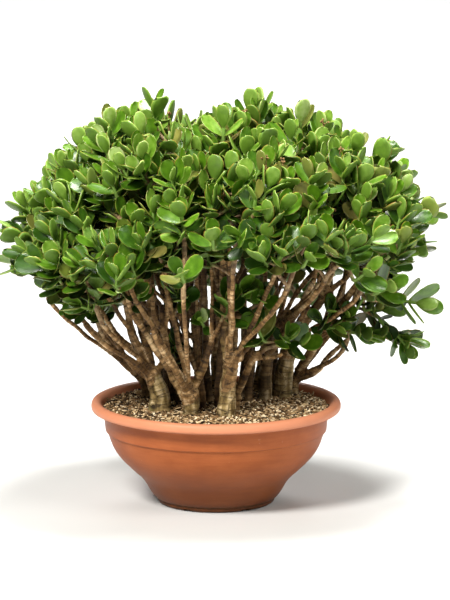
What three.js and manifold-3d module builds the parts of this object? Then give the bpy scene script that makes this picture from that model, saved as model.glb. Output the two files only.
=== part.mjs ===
// A jade bonsai: a clump of jade plants (Crassula ovata) grown in a round bowl of terracotta colour.
//
// Units are millimetres and +Z is up. The origin is the centre of the bowl's underside, which rests on z = 0.
// -Y is the front. Every piece is its own closed solid: the bowl, the soil, the bare wood of each plant and
// each leafy spray. The wood stands in plain holes in the soil, and a spray starts where a branch ends.

import * as THREE from "three";
import { mergeVertices } from "three/addons/utils/BufferGeometryUtils.js";
import Module from "manifold-3d";

// ---------------------------------------------------------------- driving dimensions

const GAP = 0.4; // clearance between two pieces that touch

const SEGMENTS = 24; // around the bowl and the soil
const SLIVER = 0.1; // how far a surface may move where slivers are taken out of it

// The drain under the foot: holes through the floor on a circle, and a channel from each to the foot's edge.
const DRAIN = { count: 6, radius: 6, circle: 68, channel: { length: 60, width: 14, depth: 4 } };

// The bowl's outline as [radius, height], each from its middle upwards.
const BOWL_OUTSIDE = [
  [0, 0], [103, 0], [110, 7], [120, 22], [131, 43], [150, 61], [168, 79], [183, 99], [194, 125], [195.5, 130],
  [199, 131.5], [203, 167], [219, 168], [225, 173], [225, 181], [219, 186],
];
const BOWL_INSIDE = [[0, 8], [108, 8], [125, 45], [160, 80], [188, 115], [203, 180], [209, 186]];

const SOIL = {
  edge: 172, // height of the surface where it meets the bowl
  crown: 178, // height of the surface in the middle
  rings: [170, 124, 76, 30, 0], // radii of the rings of the surface inside its edge
  relief: 1.6, // how far the loose chips stand out of the surface
  hole: 128, // height of the bottom of the planting holes
};

// The dome in which the shoot tips lie. The leaves reach about 35 mm beyond it.
const CROWN = {
  centre: new THREE.Vector3(15, 8, 430),
  radii: new THREE.Vector3(380, 345, 284),
  lowest: THREE.MathUtils.degToRad(112), // polar angle of the lowest tips, from straight up
  lifted: THREE.MathUtils.degToRad(26), // how much sooner the crown ends at the front, above the bare trunks
  tips: 80,
  ragged: 0.13, // share of the radius by which tips fall short of the dome
  cleft: 0.3, // the same in the dip between the two humps on top
  // The crown's uneven sides, as [height, x at its left, x at its right]: no tip of the dome lies outside them.
  sides: [
    [300, -160, 290], [340, -200, 300], [370, -225, 300], [400, -245, 300], [430, -290, 300], [460, -330, 315],
    [500, -342, 340], [540, -330, 340], [600, -262, 300], [650, -212, 235], [700, -150, 150],
  ],
};

const LEAF = { width: 0.58, thickness: 5 }; // width as a share of the length
// The two pairs of leaves at each tip: how far behind it, how far they open from the shoot, and their length.
const PAIRS = [
  { back: 3, open: THREE.MathUtils.degToRad(27), length: 43 },
  { back: 17, open: THREE.MathUtils.degToRad(60), length: 52 },
];
const SPRAY_REACH = 92; // how far behind its tips a spray leaves the wood, at least
// A green shoot: its radius at its root, where it leaves another and at its tip, and the straight length that
// holds its leaves.
const SHOOT = { root: 4.6, side: 3, neck: 3.4, tip: 3, straight: 24 };
// The sides of wood by its radius, as [least radius, sides], for trunks and for branches, and the sides of shoots.
const SIDES = { trunk: [[12, 8], [0, 6]], branch: [[12, 8], [6, 5], [0, 4]], shoot: 3 };
const CLEARANCE = 5; // how far the middle surface of a leaf keeps from the stems and leaves of other pieces
const ATTEMPTS = [0, 1, -1, 2, -2, 3]; // steps of turn that a leaf tries, one after another, to be clear

// Each plant: where its foot stands, its radius there, where it first forks, the middle of its part of the crown,
// and tips of its own, [place, way], that stand out of the dome or hang below it.
const PLANTS = [
  { name: "left", foot: [-101, -50], radius: 16.5, fork: [-114, -54, 252], reach: [-270, -150, 500] },
  {
    name: "left_back", foot: [-126, 64], radius: 7.5, fork: [-176, 60, 252], reach: [-345, 10, 430],
    own: [[[-348, -45, 440], [-1, -0.2, 0.05]]],
  },
  { name: "stump", foot: [-45, -92], radius: 13, fork: [-46, -94, 219], reach: [-120, -255, 540] },
  { name: "slim_left", foot: [-23, -50], radius: 5.5, fork: [-40, -46, 330], reach: [-110, -70, 690] },
  {
    name: "slim_right", foot: [2, -34], radius: 5.5, fork: [12, -40, 350], reach: [50, -130, 680],
    own: [[[-110, -20, 716], [-0.1, 0, 1]]],
  },
  { name: "centre", foot: [18, -105], radius: 15, fork: [26, -104, 281], reach: [95, -262, 540] },
  {
    name: "leaning", foot: [34, -66], radius: 7.7, fork: [71, -84, 290], reach: null,
    own: [[[76, -100, 330], [-0.3, -0.6, 0.8]], [[150, -76, 304], [0.6, -0.7, 0.3]]],
  },
  { name: "right_mid", foot: [88, 40], radius: 11, fork: [96, 20, 300], reach: [265, -150, 600] },
  { name: "right", foot: [118, 68], radius: 15.6, fork: [131, 60, 275], reach: [355, -60, 440] },
  {
    name: "right_back", foot: [139, 102], radius: 10, fork: [150, 106, 214], reach: [300, 175, 500],
    own: [
      [[246, 30, 306], [0.9, -0.5, 0.15]], [[345, 20, 292], [0.9, -0.3, 0.1]], [[378, -20, 530], [1, -0.1, 0.25]],
    ],
  },
  { name: "back_left", foot: [-72, 104], radius: 12, fork: [-88, 122, 262], reach: [-235, 205, 500] },
  { name: "back", foot: [4, 150], radius: 13, fork: [2, 168, 250], reach: [-20, 300, 460] },
  { name: "back_right", foot: [78, 142], radius: 10, fork: [92, 160, 270], reach: [170, 270, 540] },
  { name: "inner_left", foot: [-62, 22], radius: 11, fork: [-74, 26, 320], reach: [-215, 70, 640] },
  { name: "inner_back", foot: [14, 66], radius: 11, fork: [20, 72, 330], reach: [60, 130, 700] },
];

// The further stems of the plants that show below the crown: the points that each runs through, from inside the
// wood that it leaves, and its radius at either end. The stump's first one is its trunk's wide, cut top.
const STEMS = [
  { plant: "stump", radii: [13.5, 19.5], points: [[-43, -93, 186], [-49, -94, 218]] },
  { plant: "stump", radii: [10.5, 7], points: [[-50, -94, 210], [-77, -98, 247], [-84, -104, 276], [-92, -112, 335]] },
  { plant: "stump", radii: [5.5, 4.5], points: [[-91, -111, 328], [-107, -116, 359], [-114, -122, 396]] },
  { plant: "stump", radii: [5.5, 4.5], points: [[-91, -111, 328], [-88, -114, 355], [-86, -120, 396]] },
  {
    plant: "stump", radii: [8, 5],
    points: [[-82, -102, 262], [-117, -110, 314], [-147, -118, 361], [-158, -128, 406]],
  },
  { plant: "stump", radii: [9.5, 6.8], points: [[-48, -94, 214], [-28, -98, 247], [-11, -104, 301], [-7, -108, 325]] },
  { plant: "stump", radii: [5, 4.2], points: [[-8, -108, 318], [-7, -112, 348], [-6, -118, 386]] },
  { plant: "stump", radii: [5, 4], points: [[-8, -108, 318], [5, -116, 340], [17, -130, 380]] },
  { plant: "left", radii: [11, 7], points: [[-114, -54, 246], [-139, -58, 293], [-149, -64, 325], [-157, -70, 355]] },
  { plant: "left", radii: [7, 4.8], points: [[-112, -52, 240], [-145, -50, 283], [-169, -54, 309], [-193, -60, 340]] },
  { plant: "left", radii: [7, 4.8], points: [[-110, -46, 226], [-149, -42, 257], [-176, -42, 296], [-198, -44, 342]] },
  { plant: "left_back", radii: [5.5, 4.5], points: [[-170, 60, 244], [-203, 56, 297], [-217, 50, 330]] },
  {
    plant: "slim_left", radii: [6.5, 4.8],
    points: [[-35, -50, 250], [-57, -54, 313], [-64, -56, 346], [-60, -58, 371], [-45, -62, 399]],
  },
  { plant: "centre", radii: [13, 7], points: [[26, -104, 268], [19, -106, 300], [18, -108, 343], [14, -112, 400]] },
  { plant: "centre", radii: [7, 4.5], points: [[28, -104, 274], [43, -105, 286], [66, -105, 312]] },
  { plant: "right_mid", radii: [9, 5], points: [[94, 28, 262], [121, -24, 314], [153, -32, 366], [173, -36, 408]] },
  { plant: "right", radii: [12, 7.5], points: [[130, 62, 258], [150, 45, 305], [183, 20, 357], [213, 10, 435]] },
  { plant: "right", radii: [6.5, 5], points: [[190, 18, 366], [211, 10, 388], [245, -4, 424]] },
  { plant: "right_back", radii: [11, 8], points: [[150, 106, 216], [190, 70, 290], [225, 30, 352], [251, 10, 391]] },
  { plant: "right_back", radii: [7.5, 5], points: [[147, 103, 201], [183, 98, 219], [201, 96, 241], [237, 80, 280]] },
];

const COLOURS = {
  bowl: { color: 0xb5633a, roughness: 0.62, metalness: 0 },
  soil: { color: 0x6f5b44, roughness: 0.95, metalness: 0 },
  wood: { color: 0x6b5138, roughness: 0.85, metalness: 0 },
  leaf: { color: 0x4f8f2a, roughness: 0.38, metalness: 0 },
};

// ---------------------------------------------------------------- solids

const wasm = await Module();
wasm.setup();

/** A closed solid from a three.js geometry whose vertices may still be split at seams and edges. */
function solid(geometry) {
  const bare = geometry.clone();
  bare.deleteAttribute("normal");
  bare.deleteAttribute("uv");
  const merged = mergeVertices(bare, 1e-4);
  return new wasm.Manifold(
    new wasm.Mesh({
      numProp: 3,
      vertProperties: merged.attributes.position.array,
      triVerts: new Uint32Array(merged.index.array),
    }),
  );
}

/** All of these solids joined in one, without the slivers that this leaves where they meet. */
function fused(solids) {
  return solids.reduce((whole, next) => whole.add(next)).simplify(SLIVER);
}

/** The three.js mesh of a solid, as one named piece. */
function piece(name, body, look) {
  const mesh = body.getMesh();
  const geometry = new THREE.BufferGeometry()
    .setAttribute("position", new THREE.BufferAttribute(new Float32Array(mesh.vertProperties), 3))
    .setIndex(new THREE.BufferAttribute(new Uint32Array(mesh.triVerts), 1));
  geometry.computeVertexNormals();
  const made = new THREE.Mesh(geometry, new THREE.MeshStandardMaterial(look));
  made.name = name;
  return made;
}

/** A surface of revolution about +Z from a [radius, height] outline that starts and ends on the axis. */
function turned(outline) {
  const profile = outline.map(([radius, height]) => new THREE.Vector2(radius, height));
  return new THREE.LatheGeometry(profile, SEGMENTS).rotateX(Math.PI / 2);
}

/** A repeatable number from 0 to 1 for whole-number keys. */
function scatter(a, b = 0, c = 0) {
  const s = Math.sin(a * 127.1 + b * 311.7 + c * 74.7 + 0.5) * 43758.5453;
  return s - Math.floor(s);
}

const UP = new THREE.Vector3(0, 0, 1);
const vec = (x, y, z) => new THREE.Vector3(x, y, z);
const mean = (points) => points.reduce((sum, p) => sum.add(p), vec(0, 0, 0)).divideScalar(points.length);

// ---------------------------------------------------------------- bowl and soil

/** The bowl: rolled rim, a shallow step below it, a round belly and a waisted foot with drain channels. */
function bowl() {
  let body = solid(turned([...BOWL_OUTSIDE, ...BOWL_INSIDE.toReversed()]));
  const { count, radius, circle, channel } = DRAIN;
  for (let i = 0; i < count; i++) {
    const turn = (2 * Math.PI * (i + 0.5)) / count - Math.PI / 2;
    const groove = new THREE.BoxGeometry(channel.length, channel.width, 2 * channel.depth)
      .translate(circle + channel.length / 2, 0, 0)
      .rotateZ(turn);
    const hole = new THREE.CylinderGeometry(radius, radius, 40, 8)
      .rotateX(Math.PI / 2)
      .translate(circle, 0, 0)
      .rotateZ(turn);
    body = body.subtract(solid(groove)).subtract(solid(hole));
  }
  return body;
}

/** The radius of the bowl's inner wall at a height. */
function wallRadius(height) {
  const i = BOWL_INSIDE.findIndex(([, z]) => z > height);
  const [[r0, z0], [r1, z1]] = [BOWL_INSIDE[i - 1], BOWL_INSIDE[i]];
  return r0 + ((r1 - r0) * (height - z0)) / (z1 - z0);
}

/** The height of the soil's surface at a point, with its chips as a low relief. */
function soilHeight(x, y) {
  const out = Math.min(1, Math.hypot(x, y) / wallRadius(SOIL.edge));
  const chips = Math.sin(x * 0.31) * Math.cos(y * 0.27) + 0.6 * Math.sin(x * 0.13 - y * 0.19);
  return SOIL.crown + (SOIL.edge - SOIL.crown) * out * out + SOIL.relief * chips * (1 - out ** 8);
}

/** How many sides wood of this radius has. */
function sidesOf(kind, radius) {
  return SIDES[kind].find(([least]) => radius >= least)[1];
}

/** The soil: it fills the bowl, and has a plain hole for the foot of each plant. */
function soil() {
  const side = 1.5 * GAP;
  const wall = BOWL_INSIDE.slice(0, -2).map(([radius, height]) => [Math.max(0, radius - side), height + GAP]);
  const edge = [wallRadius(SOIL.edge) - side, SOIL.edge];
  const geometry = turned([...wall, edge, ...SOIL.rings.map((radius) => [radius, SOIL.crown])]);
  const place = geometry.attributes.position;
  for (let i = 0; i < place.count; i++) {
    if (place.getZ(i) > SOIL.edge - 1) place.setZ(i, soilHeight(place.getX(i), place.getY(i)));
  }
  let body = solid(geometry);
  const depth = 100;
  for (const { foot, radius } of PLANTS) {
    const hole = new THREE.CylinderGeometry(radius + 1.75 * GAP, radius + 1.75 * GAP, depth, sidesOf("trunk", radius))
      .rotateX(Math.PI / 2)
      .rotateZ(Math.PI / 2)
      .translate(foot[0], foot[1], SOIL.hole - GAP + depth / 2);
    body = body.subtract(solid(hole));
  }
  return body;
}

// ---------------------------------------------------------------- the plants' skeleton

/** A point drawn in to the crown's uneven sides, where it is outside them. */
function drawnIn(at) {
  const i = CROWN.sides.findIndex(([height]) => height > at.z);
  const above = CROWN.sides.at(i);
  const below = i > 0 ? CROWN.sides[i - 1] : above;
  const t = above === below ? 0 : (at.z - below[0]) / (above[0] - below[0]);
  const left = THREE.MathUtils.lerp(below[1], above[1], t);
  const right = THREE.MathUtils.lerp(below[2], above[2], t);
  return vec(THREE.MathUtils.clamp(at.x, left, right), at.y, at.z);
}

/** The shoot tips of the crown, spread evenly over the dome: each has its place and the way that it points. */
function crownTips() {
  const tips = [];
  const drop = 1 - Math.cos(CROWN.lowest);
  for (let i = 0; i < CROWN.tips; i++) {
    const rise = 1 - (drop * (i + 0.5)) / CROWN.tips;
    const turn = i * Math.PI * (3 - Math.sqrt(5)) + 0.25 * (scatter(i, 3) - 0.5);
    const flat = Math.sqrt(1 - rise * rise);
    const unit = vec(flat * Math.cos(turn), flat * Math.sin(turn), rise);
    const front = Math.max(0, -Math.sin(turn)) ** 2;
    if (Math.acos(rise) > CROWN.lowest - CROWN.lifted * front) continue;
    const cleft = CROWN.cleft * Math.exp(-(((unit.x + 0.11) / 0.07) ** 2)) * Math.max(0, rise - 0.3);
    const swell = 1 - CROWN.ragged * scatter(i, 5) ** 1.5 - cleft;
    const at = unit.clone().multiply(CROWN.radii).multiplyScalar(swell).add(CROWN.centre);
    const axis = unit.clone().divide(CROWN.radii).normalize().addScaledVector(UP, 0.55).normalize();
    tips.push({ at: drawnIn(at), axis, key: i });
  }
  return tips;
}

/** Shares the crown's tips out, each to the plant whose part of the crown is nearest. */
function sharedOut() {
  const shares = new Map(PLANTS.map((plant) => [plant.name, []]));
  for (const tip of crownTips()) {
    const away = (plant) => tip.at.distanceTo(vec(...plant.reach));
    const nearest = PLANTS.filter((plant) => plant.reach).reduce((a, b) => (away(b) < away(a) ? b : a));
    shares.get(nearest.name).push(tip);
  }
  PLANTS.forEach((plant, p) => {
    (plant.own || []).forEach(([place, way], i) => {
      shares.get(plant.name).push({ at: vec(...place), axis: vec(...way).normalize(), key: 500 + 10 * p + i });
    });
  });
  return shares;
}

/** A limb as points along a smooth curve that leaves one way and arrives another, with a radius at each. */
function limb(from, way, to, wayIn, radii, steps) {
  const far = from.distanceTo(to);
  const curve = new THREE.CubicBezierCurve3(
    from,
    from.clone().addScaledVector(way, far * 0.36),
    to.clone().addScaledVector(wayIn, -far * 0.36),
    to,
  );
  const points = [];
  for (let i = 0; i <= steps; i++) {
    const t = i / steps;
    const radius = THREE.MathUtils.lerp(radii[0], radii[1], t);
    points.push({ at: curve.getPoint(t), way: curve.getTangent(t), radius });
  }
  return points;
}

/** A stem as points of a smooth curve through its given points. */
function stem({ points, radii }) {
  const curve = new THREE.CatmullRomCurve3(points.map((point) => vec(...point)), false, "catmullrom");
  return points.map((_, i) => {
    const t = i / (points.length - 1);
    return { at: curve.getPoint(t), way: curve.getTangent(t), radius: THREE.MathUtils.lerp(radii[0], radii[1], t) };
  });
}

/** The radius of a branch that carries this many sprays. */
function branchRadius(sprays) {
  return 4.4 + 1.25 * (sprays - 1);
}

/** Grows wood from a point towards a group of tips, forking in two until each part is one spray. */
function grow(from, way, tips, radius, grown) {
  const sprays = Math.ceil(tips.length / 3);
  const middle = mean(tips.map((tip) => tip.at));
  const course = middle.clone().sub(from);
  const far = course.length();
  course.normalize();
  if (sprays === 1) {
    const spread = Math.max(...tips.map((tip) => tip.at.distanceTo(middle)));
    const along = Math.max(far * 0.3, far - Math.max(SPRAY_REACH, 1.1 * spread));
    const root = from.clone().addScaledVector(course, along).addScaledVector(UP, -0.06 * far);
    const rootWay = course.clone().multiplyScalar(0.8).addScaledVector(UP, 0.35).normalize();
    grown.limbs.push(limb(from, way, root, rootWay, [radius, SHOOT.root + 0.6], 2));
    grown.sprays.push({ root, way: rootWay, tips });
    return;
  }
  let start = from;
  let startWay = way;
  const thick = branchRadius(sprays);
  if (grown.limbs.length > 1) {
    // Past the trunk's own fork, a limb runs on a little before it forks again.
    start = from.clone().addScaledVector(course, far * 0.34).addScaledVector(UP, -0.03 * far);
    startWay = course.clone().addScaledVector(UP, 0.25).normalize();
    grown.limbs.push(limb(from, way, start, startWay, [radius, thick], 3));
  }
  const inside = start.clone().addScaledVector(startWay, -0.9 * thick);
  for (const part of halves(tips, Math.floor(sprays / 2) / sprays)) {
    const aim = mean(part.map((tip) => tip.at)).sub(start).normalize();
    const leave = startWay.clone().multiplyScalar(0.45).add(aim).normalize();
    grow(inside, leave, part, branchRadius(Math.ceil(part.length / 3)) + 0.6, grown);
  }
}

/** Splits tips in two across the axis along which they are spread most, with this share in the first part. */
function halves(tips, share) {
  const spread = (k) => Math.max(...tips.map((tip) => tip.at[k])) - Math.min(...tips.map((tip) => tip.at[k]));
  const longest = ["x", "y", "z"].reduce((a, b) => (spread(b) > spread(a) ? b : a));
  const sorted = tips.toSorted((a, b) => a.at[longest] - b.at[longest]);
  const cut = Math.round(tips.length * share);
  return [sorted.slice(0, cut), sorted.slice(cut)];
}

/** The skeleton: for each plant its limbs, the trunk first, and its sprays with the roots they grow from. */
function skeleton() {
  const shares = sharedOut();
  return PLANTS.map((plant) => {
    const foot = vec(plant.foot[0], plant.foot[1], SOIL.crown + 4);
    const fork = vec(...plant.fork);
    const lean = fork.clone().sub(foot).normalize();
    const tips = shares.get(plant.name);
    const limbRadius = Math.min(plant.radius * 0.8, branchRadius(Math.ceil(tips.length / 3)) + 3);
    const trunk = limb(foot, UP, fork, lean, [plant.radius, Math.max(limbRadius, plant.radius * 0.62)], 3);
    const buried = { at: vec(foot.x, foot.y, SOIL.hole), way: UP, radius: plant.radius };
    const grown = { name: plant.name, limbs: [[buried, ...trunk]], sprays: [] };
    grow(fork.clone().addScaledVector(lean, -0.7 * limbRadius), lean, tips, limbRadius, grown);
    grown.limbs.push(...STEMS.filter((each) => each.plant === plant.name).map(stem));
    return grown;
  });
}

// ---------------------------------------------------------------- wood and shoots as solids

/** A tapering solid along the points of a limb: a cylinder bent along them. */
function tube(points, sides) {
  const rows = points.length - 1;
  const geometry = new THREE.CylinderGeometry(1, 1, rows, sides, rows);
  const place = geometry.attributes.position;
  const frames = [];
  let side = vec(1, 0, 0);
  for (const { way } of points) {
    side = side.clone().addScaledVector(way, -side.dot(way)).normalize();
    frames.push({ side, across: way.clone().cross(side) });
  }
  for (let i = 0; i < place.count; i++) {
    const ring = Math.round(place.getY(i) + rows / 2);
    const { at, radius } = points[ring];
    const spot = at
      .clone()
      .addScaledVector(frames[ring].side, place.getZ(i) * radius)
      .addScaledVector(frames[ring].across, place.getX(i) * radius);
    place.setXYZ(i, spot.x, spot.y, spot.z);
  }
  return solid(geometry);
}

/** The bare wood of one plant. */
function wood(grown) {
  return fused(grown.limbs.map((points, i) => tube(points, sidesOf(i === 0 ? "trunk" : "branch", points[0].radius))));
}

/** The green shoots of a spray: one from its root, and the others from that one's side, each to one tip. */
function shoots(spray) {
  const root = spray.root.clone().addScaledVector(spray.way, GAP);
  const straightness = (tip) => tip.at.clone().sub(root).normalize().dot(spray.way);
  const main = spray.tips.reduce((a, b) => (straightness(b) > straightness(a) ? b : a));
  const made = [shoot(root, spray.way, main, SHOOT.root)];
  const node = made[0][1];
  for (const tip of spray.tips) {
    if (tip === main) continue;
    const aim = tip.at.clone().sub(node.at).normalize();
    made.push(shoot(node.at, aim.add(node.way).normalize(), tip, SHOOT.side));
  }
  return made;
}

/** One shoot: a curve that ends in a straight length along the tip's own axis, where its leaves are. */
function shoot(from, way, tip, radius) {
  const neck = tip.at.clone().addScaledVector(tip.axis, -SHOOT.straight);
  const curve = limb(from, way, neck, tip.axis, [radius, SHOOT.neck], 2);
  return [...curve, { at: tip.at, way: tip.axis, radius: SHOOT.tip }];
}

// ---------------------------------------------------------------- leaves

// Rings of a leaf from its root to its tip: how far along they lie, their width and their thickness, as shares of
// the leaf's own.
const BLADE = [
  { along: 0, wide: 0, deep: 0 }, { along: 0.48, wide: 0.86, deep: 1 }, { along: 0.83, wide: 0.86, deep: 0.9 },
  { along: 1, wide: 0, deep: 0 },
];

/** One leaf as a solid: a sphere of three sides drawn out to an egg-shaped blade, flat above, keeled below. */
function blade(leaf) {
  const rows = BLADE.length - 1;
  const geometry = new THREE.SphereGeometry(1, 3, rows);
  const place = geometry.attributes.position;
  const across = leaf.face.clone().cross(leaf.way);
  for (let i = 0; i < place.count; i++) {
    const ring = BLADE[Math.round((rows * Math.acos(-place.getY(i))) / Math.PI)];
    const round = Math.hypot(place.getX(i), place.getZ(i)) || 1;
    const side = (place.getZ(i) / round / Math.sin(Math.PI / 3)) * ring.wide;
    const lift = (place.getX(i) / round / 1.5 + 1 / 6) * ring.deep;
    const spot = leaf.root
      .clone()
      .addScaledVector(leaf.way, ring.along * leaf.length)
      .addScaledVector(across, (side * leaf.length * LEAF.width) / 2)
      .addScaledVector(leaf.face, lift * LEAF.thickness);
    place.setXYZ(i, spot.x, spot.y, spot.z);
  }
  return solid(geometry);
}

// Points of a leaf's middle surface, as shares of its length and half width.
const FEELERS = [
  [0.22, 0], [0.3, -0.55], [0.3, 0.55], [0.47, 0], [0.5, -0.85], [0.5, 0.85], [0.71, 0], [0.72, -0.95],
  [0.72, 0.95], [0.9, -0.55], [0.9, 0.55], [0.98, 0],
];

/** The points of a leaf at which it is tested against others. */
function feelers(leaf) {
  const across = leaf.face.clone().cross(leaf.way).multiplyScalar((leaf.length * LEAF.width) / 2);
  return FEELERS.map(([u, v]) =>
    leaf.root.clone().addScaledVector(leaf.way, u * leaf.length).addScaledVector(across, v));
}

/** Whether any of these points lies in or close to a leaf. */
function touchesLeaf(points, leaf) {
  const middle = leaf.root.clone().addScaledVector(leaf.way, 0.52 * leaf.length);
  const across = leaf.face.clone().cross(leaf.way);
  const long = 0.5 * leaf.length + CLEARANCE;
  const wide = 0.5 * leaf.length * LEAF.width + CLEARANCE;
  const deep = 0.5 * LEAF.thickness + CLEARANCE;
  return points.some((point) => {
    const off = point.clone().sub(middle);
    return Math.hypot(off.dot(leaf.way) / long, off.dot(across) / wide, off.dot(leaf.face) / deep) < 1;
  });
}

/** Whether any of these points lies in or close to a limb or a shoot. */
function touchesLimb(points, course) {
  const nearest = vec(0, 0, 0);
  return course.slice(1).some((end, i) => {
    const line = new THREE.Line3(course[i].at, end.at);
    const clear = Math.max(course[i].radius, end.radius) + CLEARANCE;
    const away = (point) => line.closestPointToPoint(point, true, nearest).distanceTo(point);
    return points.some((point) => away(point) < clear);
  });
}

/** A leaf of a tip: a pair's leaves stand opposite each other, and each pair crosses the one before. */
function leafAt(tip, pairIndex, sideIndex, attempt) {
  const pair = PAIRS[pairIndex];
  const key = pairIndex * 2 + sideIndex;
  const sway = ATTEMPTS[attempt];
  const jitter = 0.35 * (scatter(tip.key, 12, key) - 0.5) + 0.3 * sway;
  const first = Math.abs(tip.axis.z) < 0.9 ? UP : vec(1, 0, 0);
  const out = first.clone().addScaledVector(tip.axis, -first.dot(tip.axis)).normalize();
  out.applyAxisAngle(tip.axis, Math.PI * (scatter(tip.key, 11) + sideIndex + pairIndex / 2) + jitter);
  const open = pair.open * (0.85 + 0.3 * scatter(tip.key, 13, key)) - 0.1 * Math.abs(sway);
  return {
    root: tip.at.clone().addScaledVector(tip.axis, -pair.back),
    way: tip.axis.clone().multiplyScalar(Math.cos(open)).addScaledVector(out, Math.sin(open)),
    face: tip.axis.clone().multiplyScalar(Math.sin(open)).addScaledVector(out, -Math.cos(open)),
    length: pair.length * (0.86 + 0.26 * scatter(tip.key, 14, key)) - 1.5 * attempt,
  };
}

/** Whether a leaf keeps clear of the wood and of every other spray. */
function isClear(leaf, own, limbs, sprays) {
  const points = feelers(leaf);
  const touches = (that) =>
    that.root.distanceTo(leaf.root) < 130 && (touchesLeaf(points, that) || touchesLeaf(feelers(that), leaf));
  const others = sprays.filter((spray) => spray !== own);
  const courses = [...limbs, ...others.flatMap((spray) => spray.shoots)];
  const leaves = others.flatMap((spray) => spray.leaves);
  return !courses.some((course) => touchesLimb(points, course)) && !leaves.some(touches);
}

/** Puts leaves on every spray, each bent clear of the wood and of the other sprays. */
function leafOut(plants) {
  const sprays = plants.flatMap((grown) => grown.sprays);
  const limbs = plants.flatMap((grown) => grown.limbs);
  for (const spray of sprays) {
    spray.shoots = shoots(spray);
    spray.leaves = [];
  }
  for (let pair = 0; pair < PAIRS.length; pair++) {
    for (const spray of sprays) {
      for (const tip of spray.tips) {
        for (let side = 0; side < 2; side++) {
          const tries = ATTEMPTS.map((step, attempt) => leafAt(tip, pair, side, attempt));
          const leaf = tries.find((candidate) => isClear(candidate, spray, limbs, sprays));
          if (leaf) spray.leaves.push(leaf);
        }
      }
    }
  }
}

// ---------------------------------------------------------------- the model

const plants = skeleton();
leafOut(plants);

const model = new THREE.Group();
model.add(piece("bowl", bowl(), COLOURS.bowl));
model.add(piece("soil", soil(), COLOURS.soil));
for (const grown of plants) {
  model.add(piece(`wood_${grown.name}`, wood(grown), COLOURS.wood));
  grown.sprays.forEach((spray, i) => {
    const stems = spray.shoots.map((points) => tube(points, SIDES.shoot));
    const body = fused([...stems, ...spray.leaves.map(blade)]);
    model.add(piece(`spray_${grown.name}_${i + 1}`, body, COLOURS.leaf));
  });
}

export default model;
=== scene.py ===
"""A jade bonsai: a clump of jade plants, Crassula ovata, grown in a round bowl of terracotta colour.

Units are metres and +Z is up. The origin is the centre of the bowl's underside, and -Y is the front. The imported
solids say where everything is: the bowl, the soil, the bare wood of each plant and its leafy sprays. Each is
replaced here by a finer piece of the same form, and the crown is filled with the leaves that the solids leave out.
"""

import logging
import math
import random
from collections.abc import Callable, Iterator, Sequence
from contextlib import contextmanager
from dataclasses import dataclass, field
from enum import Enum
from typing import Any

import bmesh
import bpy
import numpy as np
from mathutils import Matrix, Vector, kdtree, noise


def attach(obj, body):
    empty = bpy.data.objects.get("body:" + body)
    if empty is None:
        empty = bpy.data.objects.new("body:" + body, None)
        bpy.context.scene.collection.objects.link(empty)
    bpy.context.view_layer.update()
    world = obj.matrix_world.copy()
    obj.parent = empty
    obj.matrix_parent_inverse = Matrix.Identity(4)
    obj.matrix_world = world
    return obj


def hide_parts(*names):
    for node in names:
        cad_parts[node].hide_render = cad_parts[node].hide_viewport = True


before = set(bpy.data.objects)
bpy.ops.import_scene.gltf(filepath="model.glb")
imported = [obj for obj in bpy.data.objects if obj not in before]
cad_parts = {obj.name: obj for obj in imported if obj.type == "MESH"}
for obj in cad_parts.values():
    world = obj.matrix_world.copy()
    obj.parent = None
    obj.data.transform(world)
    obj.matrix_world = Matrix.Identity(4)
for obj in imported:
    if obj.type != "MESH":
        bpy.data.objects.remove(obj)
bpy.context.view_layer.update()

log = logging.getLogger("jade")
UP = Vector((0, 0, 1))
Piece = bpy.types.Object
Finish = bpy.types.Material
Pair = tuple[float, float]
Profile = tuple[Pair, ...]
Point = tuple[float, float, float]
Colour = tuple[float, float, float]
Tones = tuple[tuple[float, Colour], ...]


# ---- shader maths


@dataclass(frozen=True)
class Value:
    """An output of a finish's nodes, worked with like a number: each operator adds the Math node it stands for."""

    look: "Look"
    socket: bpy.types.NodeSocket

    def __add__(self, other: "Value | float") -> "Value":
        """This value plus another."""
        return self.look.maths("ADD", self, other)

    def __sub__(self, other: "Value | float") -> "Value":
        """This value less another."""
        return self.look.maths("SUBTRACT", self, other)

    def __rsub__(self, other: float) -> "Value":
        """A number less this value."""
        return self.look.maths("SUBTRACT", other, self)

    def __mul__(self, other: "Value | float") -> "Value":
        """This value times another."""
        return self.look.maths("MULTIPLY", self, other)

    __radd__ = __add__
    __rmul__ = __mul__

    def eased(self, low: float, high: float) -> "Value":
        """0 up to one bound, 1 from another, and an even slope between them.

        Args:
            low: Where the result is 0.
            high: Where the result is 1, which may be below the first bound.

        Returns:
            The value between 0 and 1.
        """
        settings = {"interpolation_type": "SMOOTHSTEP", "clamp": True}
        sockets = {"Value": self, "From Min": low, "From Max": high}
        return self.look.node("ShaderNodeMapRange", settings, sockets)


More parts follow.
